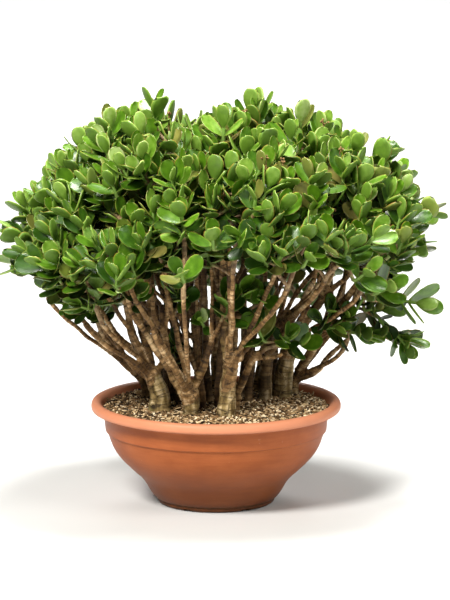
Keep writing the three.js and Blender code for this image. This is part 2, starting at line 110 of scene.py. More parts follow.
class Look:
    """The node tree of one finish: a Principled surface and the few steps that finishes are mixed from."""

    def __init__(self, name: str, constants: dict[str, float]) -> None:
        """Starts a finish.

        Args:
            name: The material's name.
            constants: What is the same all over the surface, by the shader's socket.
        """
        self.material = bpy.data.materials.new(name)
        self.material.use_nodes = True
        self.tree = self.material.node_tree
        self.surface = next(n for n in self.tree.nodes if n.type == "BSDF_PRINCIPLED")
        for socket, value in constants.items():
            self.surface.inputs[socket].default_value = value

    def node(self, kind: str, settings: dict[str, Any], sockets: dict[Any, Any], output: str | int = 0) -> Value:
        """Adds a node.

        Args:
            kind: The node's type.
            settings: Its properties, set first, and a ramp's "stops" as (place, colour) pairs.
            sockets: A value or a link for each input, by its name or number.
            output: The name or number of the output that is wanted.

        Returns:
            That output.
        """
        made = self.tree.nodes.new(kind)
        for key, value in settings.items():
            if key == "stops":
                while len(made.color_ramp.elements) < len(value):
                    made.color_ramp.elements.new(1.0)
                for element, (place, colour) in zip(made.color_ramp.elements, value):
                    element.position = place
                    element.color = (*colour, 1.0)
            else:
                setattr(made, key, value)
        for key, value in sockets.items():
            self.feed(made.inputs[key], value)
        return Value(self, made.outputs[output])

    def feed(self, socket: bpy.types.NodeSocket, value: Any) -> None:
        """Gives a socket a link or a value of its own.

        Args:
            socket: The input socket.
            value: A Value, a number, a vector or a colour.
        """
        if isinstance(value, Value):
            self.tree.links.new(value.socket, socket)
        elif isinstance(value, tuple) and socket.type == "RGBA":
            socket.default_value = (*value, 1.0)
        else:
            socket.default_value = value

    def maths(self, operation: str, first: Value | float, second: Value | float) -> Value:
        """One step of arithmetic."""
        return self.node("ShaderNodeMath", {"operation": operation}, {0: first, 1: second})

    def place(self, scale: Point = (1.0, 1.0, 1.0)) -> Value:
        """The place on the object, stretched along its axes."""
        return self.stretched(self.node("ShaderNodeTexCoord", {}, {}, "Object"), scale)

    def stretched(self, vector: Value, scale: Point) -> Value:
        """A vector times a factor for each axis."""
        return self.node("ShaderNodeMapping", {"vector_type": "POINT"}, {"Vector": vector, "Scale": scale})

    def mark(self, name: str, output: str = "Fac") -> Value:
        """What the mesh carries at each of its points: a number, or with the output "Vector" a vector."""
        return self.node("ShaderNodeAttribute", {"attribute_name": name}, {}, output)

    def grain(self, vector: Value, scale: float, detail: float = 2.0, rough: float = 0.5) -> Value:
        """Soft noise between 0 and 1.

        Args:
            vector: The coordinate that it lies on.
            scale: Blotches to a metre.
            detail: Octaves of finer noise.
            rough: How strong the finer noise is.

        Returns:
            The noise.
        """
        sockets = {"Vector": vector, "Scale": scale, "Detail": detail, "Roughness": rough}
        return self.node("ShaderNodeTexNoise", {"noise_dimensions": "3D"}, sockets)

    def cells(self, vector: Value, scale: float, feature: str = "F1") -> Value:
        """The distance from the middles of random cells, or with "DISTANCE_TO_EDGE" from their seams."""
        sockets = {"Vector": vector, "Scale": scale}
        return self.node("ShaderNodeTexVoronoi", {"feature": feature}, sockets, "Distance")

    def mixed(self, factor: Value | float, first: Value | Colour, second: Value | Colour) -> Value:
        """One colour changing into another with a factor from 0 to 1."""
        settings = {"data_type": "RGBA", "blend_type": "MIX"}
        return self.node("ShaderNodeMix", settings, {0: factor, 6: first, 7: second}, 2)

    def ramp(self, factor: Value, stops: Tones) -> Value:
        """A colour read off a scale of stops."""
        return self.node("ShaderNodeValToRGB", {"stops": stops}, {0: factor})

    def bump(self, height: Value, depth: float, strength: float = 1.0) -> Value:
        """A normal for a fine relief.

        Args:
            height: The relief, from 0 to 1.
            depth: What 1 stands for, in metres.
            strength: How much of it shows.

        Returns:
            The normal.
        """
        return self.node("ShaderNodeBump", {}, {"Height": height, "Distance": depth, "Strength": strength})

    def paint(self, **sockets: Value) -> Finish:
        """Links the surface's varying sockets, named with _ for a space, and gives the material."""
        for name, value in sockets.items():
            self.feed(self.surface.inputs[name.replace("_", " ").title()], value)
        return self.material


# ---- finishes


@dataclass(frozen=True)
class BowlPlastic:
    """Matt moulded plastic of terracotta colour, with faint clouds, rubbed spots, a painted highlight on the rim, and
    painted shade with soil dust at the foot and in its groove.
    """

    body: Colour = (0.355, 0.098, 0.028)
    deep: Colour = (0.284, 0.073, 0.02)
    rim_highlight: Colour = (0.59, 0.235, 0.128)
    chalk: Colour = (0.66, 0.36, 0.23)
    shade_and_dust: Colour = (0.068, 0.023, 0.006)
    rim_highlight_band: Pair = (0.16, 0.173)
    foot_shade: Pair = (0.105, 0.018)
    foot_dust: Pair = (0.03, 0.004)
    groove_shade_band: Pair = (0.0102, 0.0068)

    def build(self) -> Finish:
        """Mixes the finish."""
        look = Look("bowl_plastic", {"Specular IOR Level": 0.2})
        place = look.place()
        height = look.node("ShaderNodeSeparateXYZ", {}, {0: place}, 2)
        clouds = look.grain(place, 14, 4, 0.6)
        streaks = look.grain(look.place((1, 1, 9)), 22, 3, 0.6)
        colour = look.mixed((clouds * 0.6 + streaks * 0.4).eased(0.36, 0.66), self.deep, self.body)
        # Painted highlight: the rim's top is lighter, where the light falls on it.
        colour = look.mixed(height.eased(*self.rim_highlight_band) * (0.7 + 0.3 * clouds), colour, self.rim_highlight)
        rubbed = look.grain(place, 95, 3, 0.7).eased(0.66, 0.78) * clouds.eased(0.48, 0.62)
        colour = look.mixed(rubbed * 0.55, colour, self.chalk)
        # Painted shade towards the foot, under the belly, with real soil dust in patches near the bottom.
        dust = height.eased(*self.foot_dust) * look.grain(place, 60, 4, 0.7).eased(0.3, 0.62)
        colour = look.mixed(height.eased(*self.foot_shade) * 0.58 + dust * 0.22, colour, self.shade_and_dust)
        # Painted shade in the groove round the foot.
        groove = height.eased(*self.groove_shade_band) * look.grain(place, 45, 3, 0.6).eased(0.25, 0.6)
        colour = look.mixed(groove * 0.85, colour, self.shade_and_dust)
        rough = 0.4 + 0.16 * streaks + 0.15 * rubbed
        relief = look.grain(place, 420, 2, 0.5) * 0.5 + look.grain(look.place((1, 1, 6)), 120) * 0.5
        return look.paint(base_color=colour, roughness=rough, normal=look.bump(relief, 0.00018, 0.7))


@dataclass(frozen=True)
class PottingMix:
    """Moist potting mix: dark crumbs of peat and fine bark."""

    dark: Colour = (0.018, 0.011, 0.006)
    light: Colour = (0.11, 0.07, 0.038)

    def build(self) -> Finish:
        """Mixes the finish."""
        look = Look("potting_mix", {"Roughness": 0.92, "Specular IOR Level": 0.2})
        place = look.place()
        crumbs = look.cells(place, 260)
        fine = look.grain(place, 700, 3, 0.7)
        colour = look.mixed((fine * 0.7 + crumbs * 0.5).eased(0.25, 0.8), self.dark, self.light)
        return look.paint(base_color=colour, normal=look.bump(crumbs * -1.0 + fine * 0.5, 0.0016, 0.9))


@dataclass(frozen=True)
class ChipFinish:
    """Bark chips, wood shreds and gravel, each of its own tone between dark and pale."""

    tones: Tones = (
        (0.0, (0.024, 0.014, 0.007)),
        (0.3, (0.1, 0.054, 0.02)),
        (0.52, (0.27, 0.158, 0.07)),
        (0.72, (0.57, 0.395, 0.205)),
        (1.0, (0.92, 0.76, 0.52)),
    )

    def build(self) -> Finish:
        """Mixes the finish."""
        look = Look("bark_chips", {"Roughness": 0.86, "Specular IOR Level": 0.25})
        fibre = look.grain(look.place((1, 1, 2)), 900, 3, 0.65)
        tone = look.mark("tone") + (fibre - 0.5) * 0.34
        return look.paint(base_color=look.ramp(tone, self.tones), normal=look.bump(fibre, 0.0006, 0.8))


@dataclass(frozen=True)
class JadeBark:
    """The skin of old jade wood: tan and olive, ringed with fine dark cracks, redder when young, and darker inside
    the clump as painted shade.

    The grain is a coordinate that runs straight along each limb, so a stretch of (across, across, along) to a
    metre makes bands round the limb or streaks along it.
    """

    cork: Tones = (
        (0.18, (0.029, 0.017, 0.003)),
        (0.38, (0.136, 0.087, 0.026)),
        (0.58, (0.315, 0.222, 0.086)),
        (0.82, (0.68, 0.53, 0.3)),
    )
    young: Tones = (
        (0.18, (0.036, 0.017, 0.004)),
        (0.42, (0.164, 0.085, 0.027)),
        (0.62, (0.35, 0.205, 0.082)),
        (0.82, (0.73, 0.52, 0.29)),
    )
    scar: Colour = (0.02, 0.011, 0.006)
    moss: Colour = (0.105, 0.105, 0.03)
    banding: Point = (26.0, 26.0, 120.0)
    streaking: Point = (85.0, 85.0, 11.0)
    cracking: Point = (13.0, 13.0, 88.0)
    wrinkling: Point = (40.0, 40.0, 620.0)

    def build(self) -> Finish:
        """Mixes the finish."""
        look = Look("jade_bark", {"Specular IOR Level": 0.3})
        along = look.mark("grain", "Vector")
        place = look.place()
        bands = look.grain(look.stretched(along, self.banding), 1, 3, 0.6)
        streaks = look.grain(look.stretched(along, self.streaking), 1, 2, 0.55)
        blotches = look.grain(place, 36, 3, 0.6)
        flecks = look.grain(place, 380, 3, 0.7)
        # Painted light and shade, partly the bark's own streaky tone: the streaks along each limb make it light on
        # one side and dark on another, at random.
        tone = (bands - 0.5) * 0.72 + (blotches - 0.5) * 0.9 + (streaks - 0.5) * 1.15
        tone = tone + (flecks - 0.5) * 0.3 + 0.53
        colour = look.mixed(look.mark("girth"), look.ramp(tone, self.young), look.ramp(tone, self.cork))
        colour = look.mixed(look.grain(place, 24).eased(0.54, 0.66) * look.mark("girth") * 0.4, colour, self.moss)
        seams = look.cells(look.stretched(along, self.cracking), 1, "DISTANCE_TO_EDGE")
        faint = look.grain(place, 85, 2).eased(0.36, 0.56)
        cracks = seams.eased(0.042, 0.008) * faint
        hair = look.grain(look.stretched(along, self.wrinkling), 1, 2, 0.6).eased(0.62, 0.74)
        pits = look.grain(place, 75, 4, 0.7).eased(0.61, 0.74)
        # Painted shade: the inside mark darkens the bark towards the middle of the clump, where the crown shades it.
        # The other shades are the bark's own seams, pits, cracks and wrinkles.
        shades = (look.mark("inside") * 0.52, seams.eased(0.2, 0.06) * 0.24, pits * 0.6, cracks * 0.82, hair * 0.44)
        for shade in shades:
            colour = look.mixed(shade, colour, self.scar)
        relief = bands * 0.5 + flecks * 0.35 - hair * 0.3 - cracks * 0.45
        rough = 0.62 + 0.25 * flecks
        return look.paint(base_color=colour, roughness=rough, normal=look.bump(relief - pits * 0.4, 0.002, 1.0))


@dataclass(frozen=True)
class ShootSkin:
    """A young shoot: green and smooth at its tip, brown and ringed with scars further back."""

    green: Colour = (0.17, 0.29, 0.055)
    brown: Colour = (0.16, 0.085, 0.038)
    tan: Colour = (0.34, 0.24, 0.12)
    scar: Colour = (0.045, 0.022, 0.01)

    def build(self) -> Finish:
        """Mixes the finish."""
        look = Look("shoot_skin", {"Specular IOR Level": 0.35})
        place = look.place()
        blotches = look.grain(place, 150, 3, 0.6)
        bark = look.mixed(blotches.eased(0.35, 0.65), self.brown, self.tan)
        youth = (look.mark("youth") + (blotches - 0.5) * 0.5).eased(0.4, 0.72)
        colour = look.mixed(youth, bark, self.green)
        colour = look.mixed(look.mark("ring").eased(0.3, 0.95) * (0.7 - 0.45 * youth), colour, self.scar)
        relief = look.grain(place, 500, 2) - look.mark("ring") * 0.6
        return look.paint(base_color=colour, roughness=0.66 - 0.2 * youth, normal=look.bump(relief, 0.0005, 0.8))


@dataclass(frozen=True)
class JadeLeaf:
    """A thick waxy leaf: green of its own tone, lighter high up and at the crown's outside and darker deep inside as
    painted light and shade, a lighter margin, a reddish edge at the tip, a pale underside.
    """

    tones: Tones = (
        (0.0, (0.008, 0.026, 0.001)),
        (0.25, (0.022, 0.069, 0.002)),
        (0.5, (0.076, 0.176, 0.005)),
        (0.72, (0.2, 0.33, 0.046)),
        (0.95, (0.43, 0.52, 0.23)),
    )
    rim: Colour = (0.36, 0.4, 0.065)
    blush: Colour = (0.3, 0.08, 0.018)
    aged: Colour = (0.165, 0.135, 0.034)
    under: Colour = (0.15, 0.242, 0.034)
    base: Colour = (0.33, 0.43, 0.09)
    spot: Colour = (0.11, 0.075, 0.025)

    def build(self) -> Finish:
        """Mixes the finish."""
        look = Look("jade_leaf", {"Specular IOR Level": 0.34, "Coat Weight": 0.16, "Coat Roughness": 0.14})
        place = look.place()
        rim = look.mark("rim")
        along = look.mark("along")
        blush = look.mark("blush")
        below = look.mark("upper").eased(0.25, -0.25)
        clouds = look.grain(place, 85, 2, 0.5)
        # The tint mark carries painted light and shade: lighter leaves high up and at the crown's outside, darker
        # ones deep inside.
        colour = look.ramp(look.mark("tint") + (clouds - 0.5) * 0.42 + (rim - 0.45) * 0.2, self.tones)
        colour = look.mixed(look.mark("age") * (0.55 + 0.6 * clouds), colour, self.aged)
        colour = look.mixed(below * 0.32, colour, self.under)
        colour = look.mixed(along.eased(0.2, 0.02) * 0.6, colour, self.base)
        edge = rim.eased(0.74, 1.0)
        colour = look.mixed(edge * 0.45, colour, self.rim)
        reddened = edge * (along * 1.0 + blush * 1.0 - 0.75).eased(0.0, 0.7)
        colour = look.mixed(reddened * 0.8, colour, self.blush)
        spots = look.cells(place, 330).eased(0.3, 0.12) * (blush + clouds * 0.4).eased(0.95, 1.25)
        colour = look.mixed(spots * 0.6, colour, self.spot)
        rough = 0.32 + 0.14 * clouds + 0.16 * below
        relief = look.grain(place, 1400, 2) * 0.35 + look.grain(place, 160) * 0.65
        return look.paint(base_color=colour, roughness=rough, normal=look.bump(relief, 0.0006, 0.5))


@dataclass(frozen=True)
class DryStalk:
    """What is left of old flower heads: light brown, dry and brittle."""

    dark: Colour = (0.085, 0.042, 0.016)
    light: Colour = (0.34, 0.21, 0.085)

    def build(self) -> Finish:
        """Mixes the finish."""
        look = Look("dry_stalk", {"Roughness": 0.85, "Specular IOR Level": 0.2})
        fibre = look.grain(look.place((1, 1, 0.4)), 600, 3, 0.6)
        colour = look.mixed(fibre.eased(0.35, 0.68), self.dark, self.light)
        return look.paint(base_color=colour, normal=look.bump(fibre, 0.0005, 0.8))


@dataclass(frozen=True)
class StudioPaper:
    """The pale sweep that the plant stands on."""

    white: Colour = (0.6, 0.6, 0.597)

    def build(self) -> Finish:
        """Mixes the finish."""
        look = Look("studio_paper", {"Roughness": 0.95, "Specular IOR Level": 0.1})
        faint = look.grain(look.place(), 3)
        return look.paint(base_color=look.mixed(faint, self.white, tuple(0.985 * c for c in self.white)))


# ---- the modeller's bench


def deselect() -> None:
    """Selects no object."""
    bpy.ops.object.select_all(action="DESELECT")


def only(obj: Piece) -> None:
    """Selects one object, and nothing else, and makes it active."""
    deselect()
    obj.select_set(True)
    bpy.context.view_layer.objects.active = obj


@contextmanager
def editing(obj: Piece) -> Iterator[None]:
    """Edit mode on one object, with vertices as what is selected.

    Args:
        obj: The object.
    """
    only(obj)
    bpy.ops.object.mode_set(mode="EDIT")
    bpy.ops.mesh.select_mode(type="VERT")
    yield
    bpy.ops.object.mode_set(mode="OBJECT")


def pick(obj: Piece, wanted: Callable[[Vector], bool]) -> None:
    """Selects, in edit mode, just the vertices whose place passes the test.

    Args:
        obj: The object in edit mode.
        wanted: The test of a vertex's place.
    """
    bpy.ops.mesh.select_all(action="DESELECT")
    mesh = bmesh.from_edit_mesh(obj.data)
    for vertex in mesh.verts:
        vertex.select = wanted(vertex.co)
    mesh.select_flush(True)
    bmesh.update_edit_mesh(obj.data)


def modified(obj: Piece, kind: str, **settings: Any) -> None:
    """Adds a modifier with these settings and applies it.

    Args:
        obj: The object.
        kind: The modifier's type.
        settings: Its properties.
    """
    modifier = obj.modifiers.new(kind.title(), kind)
    for key, value in settings.items():
        setattr(modifier, key, value)
    only(obj)
    bpy.ops.object.modifier_apply(modifier=modifier.name)


def placed(obj: Piece) -> Piece:
    """Moves an object's place, turn and size into its mesh, and returns it."""
    only(obj)
    bpy.ops.object.transform_apply(location=True, rotation=True, scale=True)
    return obj


def copied(pattern: Piece) -> Piece:
    """Copies a pattern, with a mesh of its own.

    Args:
        pattern: What is copied.

    Returns:
        The copy.
    """
    copy = pattern.copy()
    copy.data = pattern.data.copy()
    bpy.context.scene.collection.objects.link(copy)
    return copy


def joined(objects: Sequence[Piece], name: str) -> Piece:
    """Joins objects in one, in groups first, since one long list is slow.

    Args:
        objects: What is joined.
        name: The name of the whole.

    Returns:
        The whole.
    """
    group = 300
    while len(objects) > 1:
        wholes = []
        for start in range(0, len(objects), group):
            deselect()
            for obj in objects[start : start + group]:
                obj.select_set(True)
            bpy.context.view_layer.objects.active = objects[start]
            bpy.ops.object.join()
            wholes.append(objects[start])
        objects = wholes
    objects[0].name = name
    objects[0].data.name = name
    return objects[0]


def vertices(obj: Piece, what: str = "co") -> np.ndarray:
    """Reads a mesh's vertices.

    Args:
        obj: The mesh.
        what: "co" for their places, or "normal" for their normals.

    Returns:
        One row for each.
    """
    rows = np.empty(len(obj.data.vertices) * 3, np.float32)
    obj.data.vertices.foreach_get(what, rows)
    return rows.reshape(-1, 3).astype(float)


def move_vertices(obj: Piece, places: np.ndarray) -> None:
    """Puts a mesh's vertices at new places."""
    obj.data.vertices.foreach_set("co", places.astype(np.float32).ravel())
    obj.data.update()


def write_mark(obj: Piece, name: str, values: np.ndarray | float) -> None:
    """Keeps a number, or a vector, at each of a mesh's vertices for its finish to read.

    Args:
        obj: The mesh.
        name: The mark's name.
        values: One number for all, or a row each.
    """
    count = len(obj.data.vertices)
    kind = "FLOAT_VECTOR" if np.ndim(values) == 2 else "FLOAT"
    mark = obj.data.attributes.get(name) or obj.data.attributes.new(name, kind, "POINT")
    if kind == "FLOAT_VECTOR":
        mark.data.foreach_set("vector", np.asarray(values, np.float32).ravel())
    else:
        mark.data.foreach_set("value", np.broadcast_to(np.asarray(values, np.float32), count).copy())


def turned(name: str, outline: Sequence[Pair], sides: int) -> Piece:
    """A closed surface of revolution, drawn out ring by ring.

    Args:
        name: The object's name.
        outline: (radius, height) from the first ring of the underside to the axis on top.
        sides: The number of sides.

    Returns:
        The object, with its normals outwards.
    """
    deselect()
    radius, height = outline[0]
    bpy.ops.mesh.primitive_circle_add(vertices=sides, radius=radius, fill_type="NGON", location=(0, 0, height))
    body = bpy.context.object
    body.name = name
    placed(body)
    with editing(body):
        bpy.ops.mesh.select_all(action="SELECT")
        bpy.ops.mesh.delete(type="ONLY_FACE")
        bpy.ops.mesh.select_all(action="SELECT")
        bpy.ops.mesh.edge_face_add()
        bpy.ops.mesh.select_all(action="SELECT")
        bpy.ops.mesh.region_to_loop()
        bpy.ops.mesh.select_mode(type="EDGE")
        for next_radius, next_height in outline[1:]:
            rise = {"value": (0, 0, next_height - height)}
            bpy.ops.mesh.extrude_edges_move(TRANSFORM_OT_translate=rise)
            if next_radius == 0:
                bpy.ops.mesh.merge(type="CENTER")
            else:
                share = next_radius / radius
                bpy.ops.transform.resize(value=(share, share, 1), center_override=(0, 0, next_height))
            radius, height = next_radius, next_height
        bpy.ops.mesh.select_mode(type="VERT")
        bpy.ops.mesh.select_all(action="SELECT")
        bpy.ops.mesh.normals_make_consistent(inside=False)
    return body


def dressed(obj: Piece, material: Finish, slot: str, *nodes: str) -> Piece:
    """Finishes a piece of the object.

    Args:
        obj: The piece, with its place in its mesh.
        material: Its finish.
        slot: The name of the record's material slot; not used.
        nodes: The solids that it stands for.

    Returns:
        The piece.
    """
    obj.data.materials.clear()
    obj.data.materials.append(material)
    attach(obj, "root")
    if nodes:
        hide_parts(*nodes)
    log.info("%s: %d faces", obj.name, len(obj.data.polygons))
    return obj


def scatter(a: int, b: int = 0, c: int = 0) -> float:
    """A repeatable number from 0 to 1 for whole-number keys, the same as the solids' own."""
    wave = math.sin(a * 127.1 + b * 311.7 + c * 74.7 + 0.5) * 43758.5453
    return wave - math.floor(wave)


# ---- bowl and soil


# The inside of the bowl's wall as (radius, height), from its floor to its rim.
BOWL_INSIDE = (
    (0.104, 0.008), (0.108, 0.0085), (0.125, 0.045), (0.16, 0.08), (0.188, 0.115), (0.199, 0.158),
    (0.2035, 0.174),
)


def wall_radius(height: float) -> float:
    """The radius of the bowl's inner wall at a height."""
    return float(np.interp(height, [z for _, z in BOWL_INSIDE], [r for r, _ in BOWL_INSIDE]))


@dataclass
class Bowl:
    """The bowl: a round belly on a waisted foot, a shallow step in its wall and a rolled rim."""

    foot: Profile = (
        (0.03, 0.0), (0.098, 0.0), (0.1032, 0.0008), (0.1058, 0.0035), (0.1062, 0.0062), (0.1052, 0.0078),
        (0.1062, 0.0092),
    )
    belly: Profile = (
        (0.1115, 0.012), (0.115, 0.0165), (0.12, 0.0235), (0.1255, 0.0335), (0.131, 0.043), (0.1385, 0.051),
        (0.15, 0.061), (0.16, 0.0705), (0.169, 0.0795), (0.1775, 0.0895), (0.1845, 0.1),
        (0.1898, 0.1115), (0.1938, 0.124), (0.195, 0.1286),
    )
    step: Profile = (
        (0.1953, 0.13), (0.196, 0.1309), (0.1986, 0.1314), (0.1994, 0.1325), (0.1998, 0.1355), (0.201, 0.148),
        (0.2024, 0.162), (0.203, 0.1664),
    )
    rim: Profile = (
        (0.204, 0.1676), (0.207, 0.1681), (0.216, 0.168), (0.2205, 0.1683), (0.2232, 0.1695), (0.2247, 0.1722),
        (0.2251, 0.176), (0.2246, 0.18), (0.223, 0.1836), (0.22, 0.1858), (0.216, 0.1864),
        (0.2118, 0.1856), (0.2082, 0.1832), (0.2056, 0.1794),
    )
    floor: Profile = ((0.03, 0.008), (0.0, 0.008))
    sides: int = 96
    drains: int = 6
    drain_circle: float = 0.068
    drain_radius: float = 0.006
    drain_depth: float = 0.04
    channel: Point = (0.06, 0.014, 0.008)

    def drain_cutter(self) -> Piece:
        """What is cut out of the foot: a hole through the floor and a channel to the edge for each drain."""
        parts = []
        for i in range(self.drains):
            turn = 2 * math.pi * (i + 0.5) / self.drains - math.pi / 2
            way = Vector((math.cos(turn), math.sin(turn), 0))
            spot = way * self.drain_circle
            bpy.ops.mesh.primitive_cylinder_add(
                vertices=24, radius=self.drain_radius, depth=self.drain_depth, location=spot
            )
            parts.append(bpy.context.object)
            middle = way * (self.drain_circle + self.channel[0] / 2)
            bpy.ops.mesh.primitive_cube_add(size=1, location=middle, rotation=(0, 0, turn))
            parts.append(bpy.context.object)
            parts[-1].scale = self.channel
        return placed(joined([placed(part) for part in parts], "drain_cutter"))

    def build(self, material: Finish) -> Piece:
        """Models and dresses the bowl.

        Args:
            material: The bowl's finish.

        Returns:
            The bowl.
        """
        outline = [*self.foot, *self.belly, *self.step, *self.rim, *reversed(BOWL_INSIDE), *self.floor]
        body = turned("planter_bowl", outline, self.sides)
        modified(body, "SUBSURF", levels=1, render_levels=1)
        cutter = self.drain_cutter()
        modified(body, "BOOLEAN", operation="DIFFERENCE", object=cutter, solver="EXACT", use_self=True)
        bpy.data.objects.remove(cutter)
        only(body)
        bpy.ops.object.shade_smooth_by_angle(angle=math.radians(40))
        return dressed(body, material, "bowl", "bowl")


@dataclass(frozen=True)
class ChipCut:
    """The make of a loose piece: its length, width and height, mean tone, share of the cover and worn edges."""

    size: Point
    tone: float
    share: float
    worn: float


class ChipKind(Enum):
    """The kinds of loose pieces on the soil."""

    SHRED = ChipCut((0.011, 0.0022, 0.0016), 0.57, 0.4, 0.1)
    BARK = ChipCut((0.0075, 0.005, 0.003), 0.29, 0.32, 0.1)
    GRIT = ChipCut((0.0044, 0.0038, 0.003), 0.79, 0.28, 0.16)


@dataclass
class Soil:
    """The potting mix, and the bark chips and grit that cover it."""

    edge: float = 0.172
    crown: float = 0.178
    relief: float = 0.0016
    crumb: float = 0.0012
    crumb_grain: float = 140
    gap: float = 0.0006
    rings: int = 34
    sides: int = 120
    chips: int = 6400
    chip_shapes: int = 3
    bare_edge: float = 0.003
    nod: float = 0.28
    roll: float = 0.5
    sizes: Pair = (0.7, 1.35)
    lift: Pair = (0.0002, 0.003)
    painted_light: float = 0.08
    tone_spread: float = 0.24
    seed: int = 11

    def height(self, x: float, y: float) -> float:
        """The height of the surface at a point, with its low relief."""
        out = min(1.0, math.hypot(x, y) / wall_radius(self.edge))
        waves = math.sin(x * 310) * math.cos(y * 270) + 0.6 * math.sin(x * 130 - y * 190)
        return self.crown + (self.edge - self.crown) * out * out + self.relief * waves * (1 - out**8)

    def bed(self, material: Finish) -> Piece:
        """The body of the soil, filled into the bowl, with a crumbly top.

        Args:
            material: The soil's finish.

        Returns:
            The soil.
        """
        wall = [(radius - self.gap, height + self.gap) for radius, height in BOWL_INSIDE[1:-2]]
        rim = wall_radius(self.edge) - self.gap
        top = [(rim * (1 - i / self.rings), self.crown) for i in range(1, self.rings)]
        body = turned("soil_bed", [*wall, (rim, self.edge), *top, (0.0, self.crown)], self.sides)
        places = vertices(body)
        for spot in places:
            if spot[2] > self.edge - 0.001:
                crumbs = noise.noise(Vector((spot[0] * self.crumb_grain, spot[1] * self.crumb_grain, 3.0)))
                spot[2] = self.height(spot[0], spot[1]) + self.crumb * crumbs
        move_vertices(body, places)
        only(body)
        bpy.ops.object.shade_smooth_by_angle(angle=math.radians(60))
        return dressed(body, material, "soil", "soil")

    def chip(self, kind: ChipKind, shape: int) -> Piece:
        """One loose piece, split off along its grain: a cube with its corners drawn about and its edges broken.

        Args:
            kind: Its kind.
            shape: The number of its shape.

        Returns:
            The pattern of it.
        """
        bpy.ops.mesh.primitive_cube_add(size=1, location=(0, 0, 0))
        piece = bpy.context.object
        with editing(piece):
            bpy.ops.mesh.select_all(action="SELECT")
            bpy.ops.transform.vertex_random(offset=0.22, uniform=1.0, seed=shape)
            pick(piece, lambda at: at.x > 0)
            bpy.ops.transform.resize(value=(1, 0.72, 0.6), center_override=(0.5, 0, 0))
            bpy.ops.mesh.select_all(action="SELECT")
            bpy.ops.mesh.bevel(offset=kind.value.worn, segments=1)
        piece.scale = kind.value.size
        return placed(piece)

    def cover(self, material: Finish, plants: Sequence["Plant"]) -> list[Piece]:
        """The loose pieces on the soil, lying round the trunks, and lighter towards the front right as painted light.

        Args:
            material: Their finish.
            plants: The plants whose trunks they lie round.

        Returns:
            All of them, as one piece of each kind.
        """
        draw = random.Random(self.seed)
        shapes = {kind: [self.chip(kind, shape) for shape in range(self.chip_shapes)] for kind in ChipKind}
        rim = wall_radius(self.edge) - self.bare_edge
        pieces: dict[ChipKind, list[Piece]] = {kind: [] for kind in ChipKind}
        while sum(len(some) for some in pieces.values()) < self.chips:
            x, y = draw.uniform(-rim, rim), draw.uniform(-rim, rim)
            clear = all(math.hypot(x - p.foot[0], y - p.foot[1]) > p.radius for p in plants)
            if math.hypot(x, y) > rim or not clear:
                continue
            kind = draw.choices(list(ChipKind), [k.value.share for k in ChipKind])[0]
            turn = Matrix.Rotation(draw.uniform(0, 2 * math.pi), 3, "Z")
            tilt = Matrix.Rotation(draw.gauss(0, self.nod), 3, "Y")
            tilt @= Matrix.Rotation(draw.gauss(0, self.roll), 3, "X")
            size = Matrix.Diagonal([draw.uniform(*self.sizes) for _ in range(3)])
            lift = draw.uniform(*self.lift)
            place = Matrix.Translation((x, y, self.height(x, y) + lift)) @ (turn @ tilt @ size).to_4x4()
            piece = copied(shapes[kind][draw.randrange(self.chip_shapes)])
            piece.data.transform(place)
            # Painted light: the chips are lighter towards the front right.
            painted_light = self.painted_light * math.tanh((x - y - 0.05) * 9)
            write_mark(piece, "tone", kind.value.tone + painted_light + draw.gauss(0, self.tone_spread))
            pieces[kind].append(piece)
        for shape in [shape for some in shapes.values() for shape in some]:
            bpy.data.objects.remove(shape)
        return [
            dressed(joined(some, f"soil_{kind.name.lower()}"), material, "soil") for kind, some in pieces.items()
        ]


# ---- the plants' skeleton

# The first keys of the random draws of a plant's own tips, of the sprigs and of the tips that fill the crown.
OWN_KEY = 500
SPRIG_KEY = 700
FILL_KEY = 1000

# The distance between the stations along wood.
STEP = 0.005


@dataclass(frozen=True)
class Plant:
    """One plant of the clump: where it stands, its trunk, and the part of the crown that it fills."""

    name: str
    foot: Pair
    radius: float
    fork: Point
    reach: Point | None
    own: tuple[tuple[Point, Point], ...] = ()


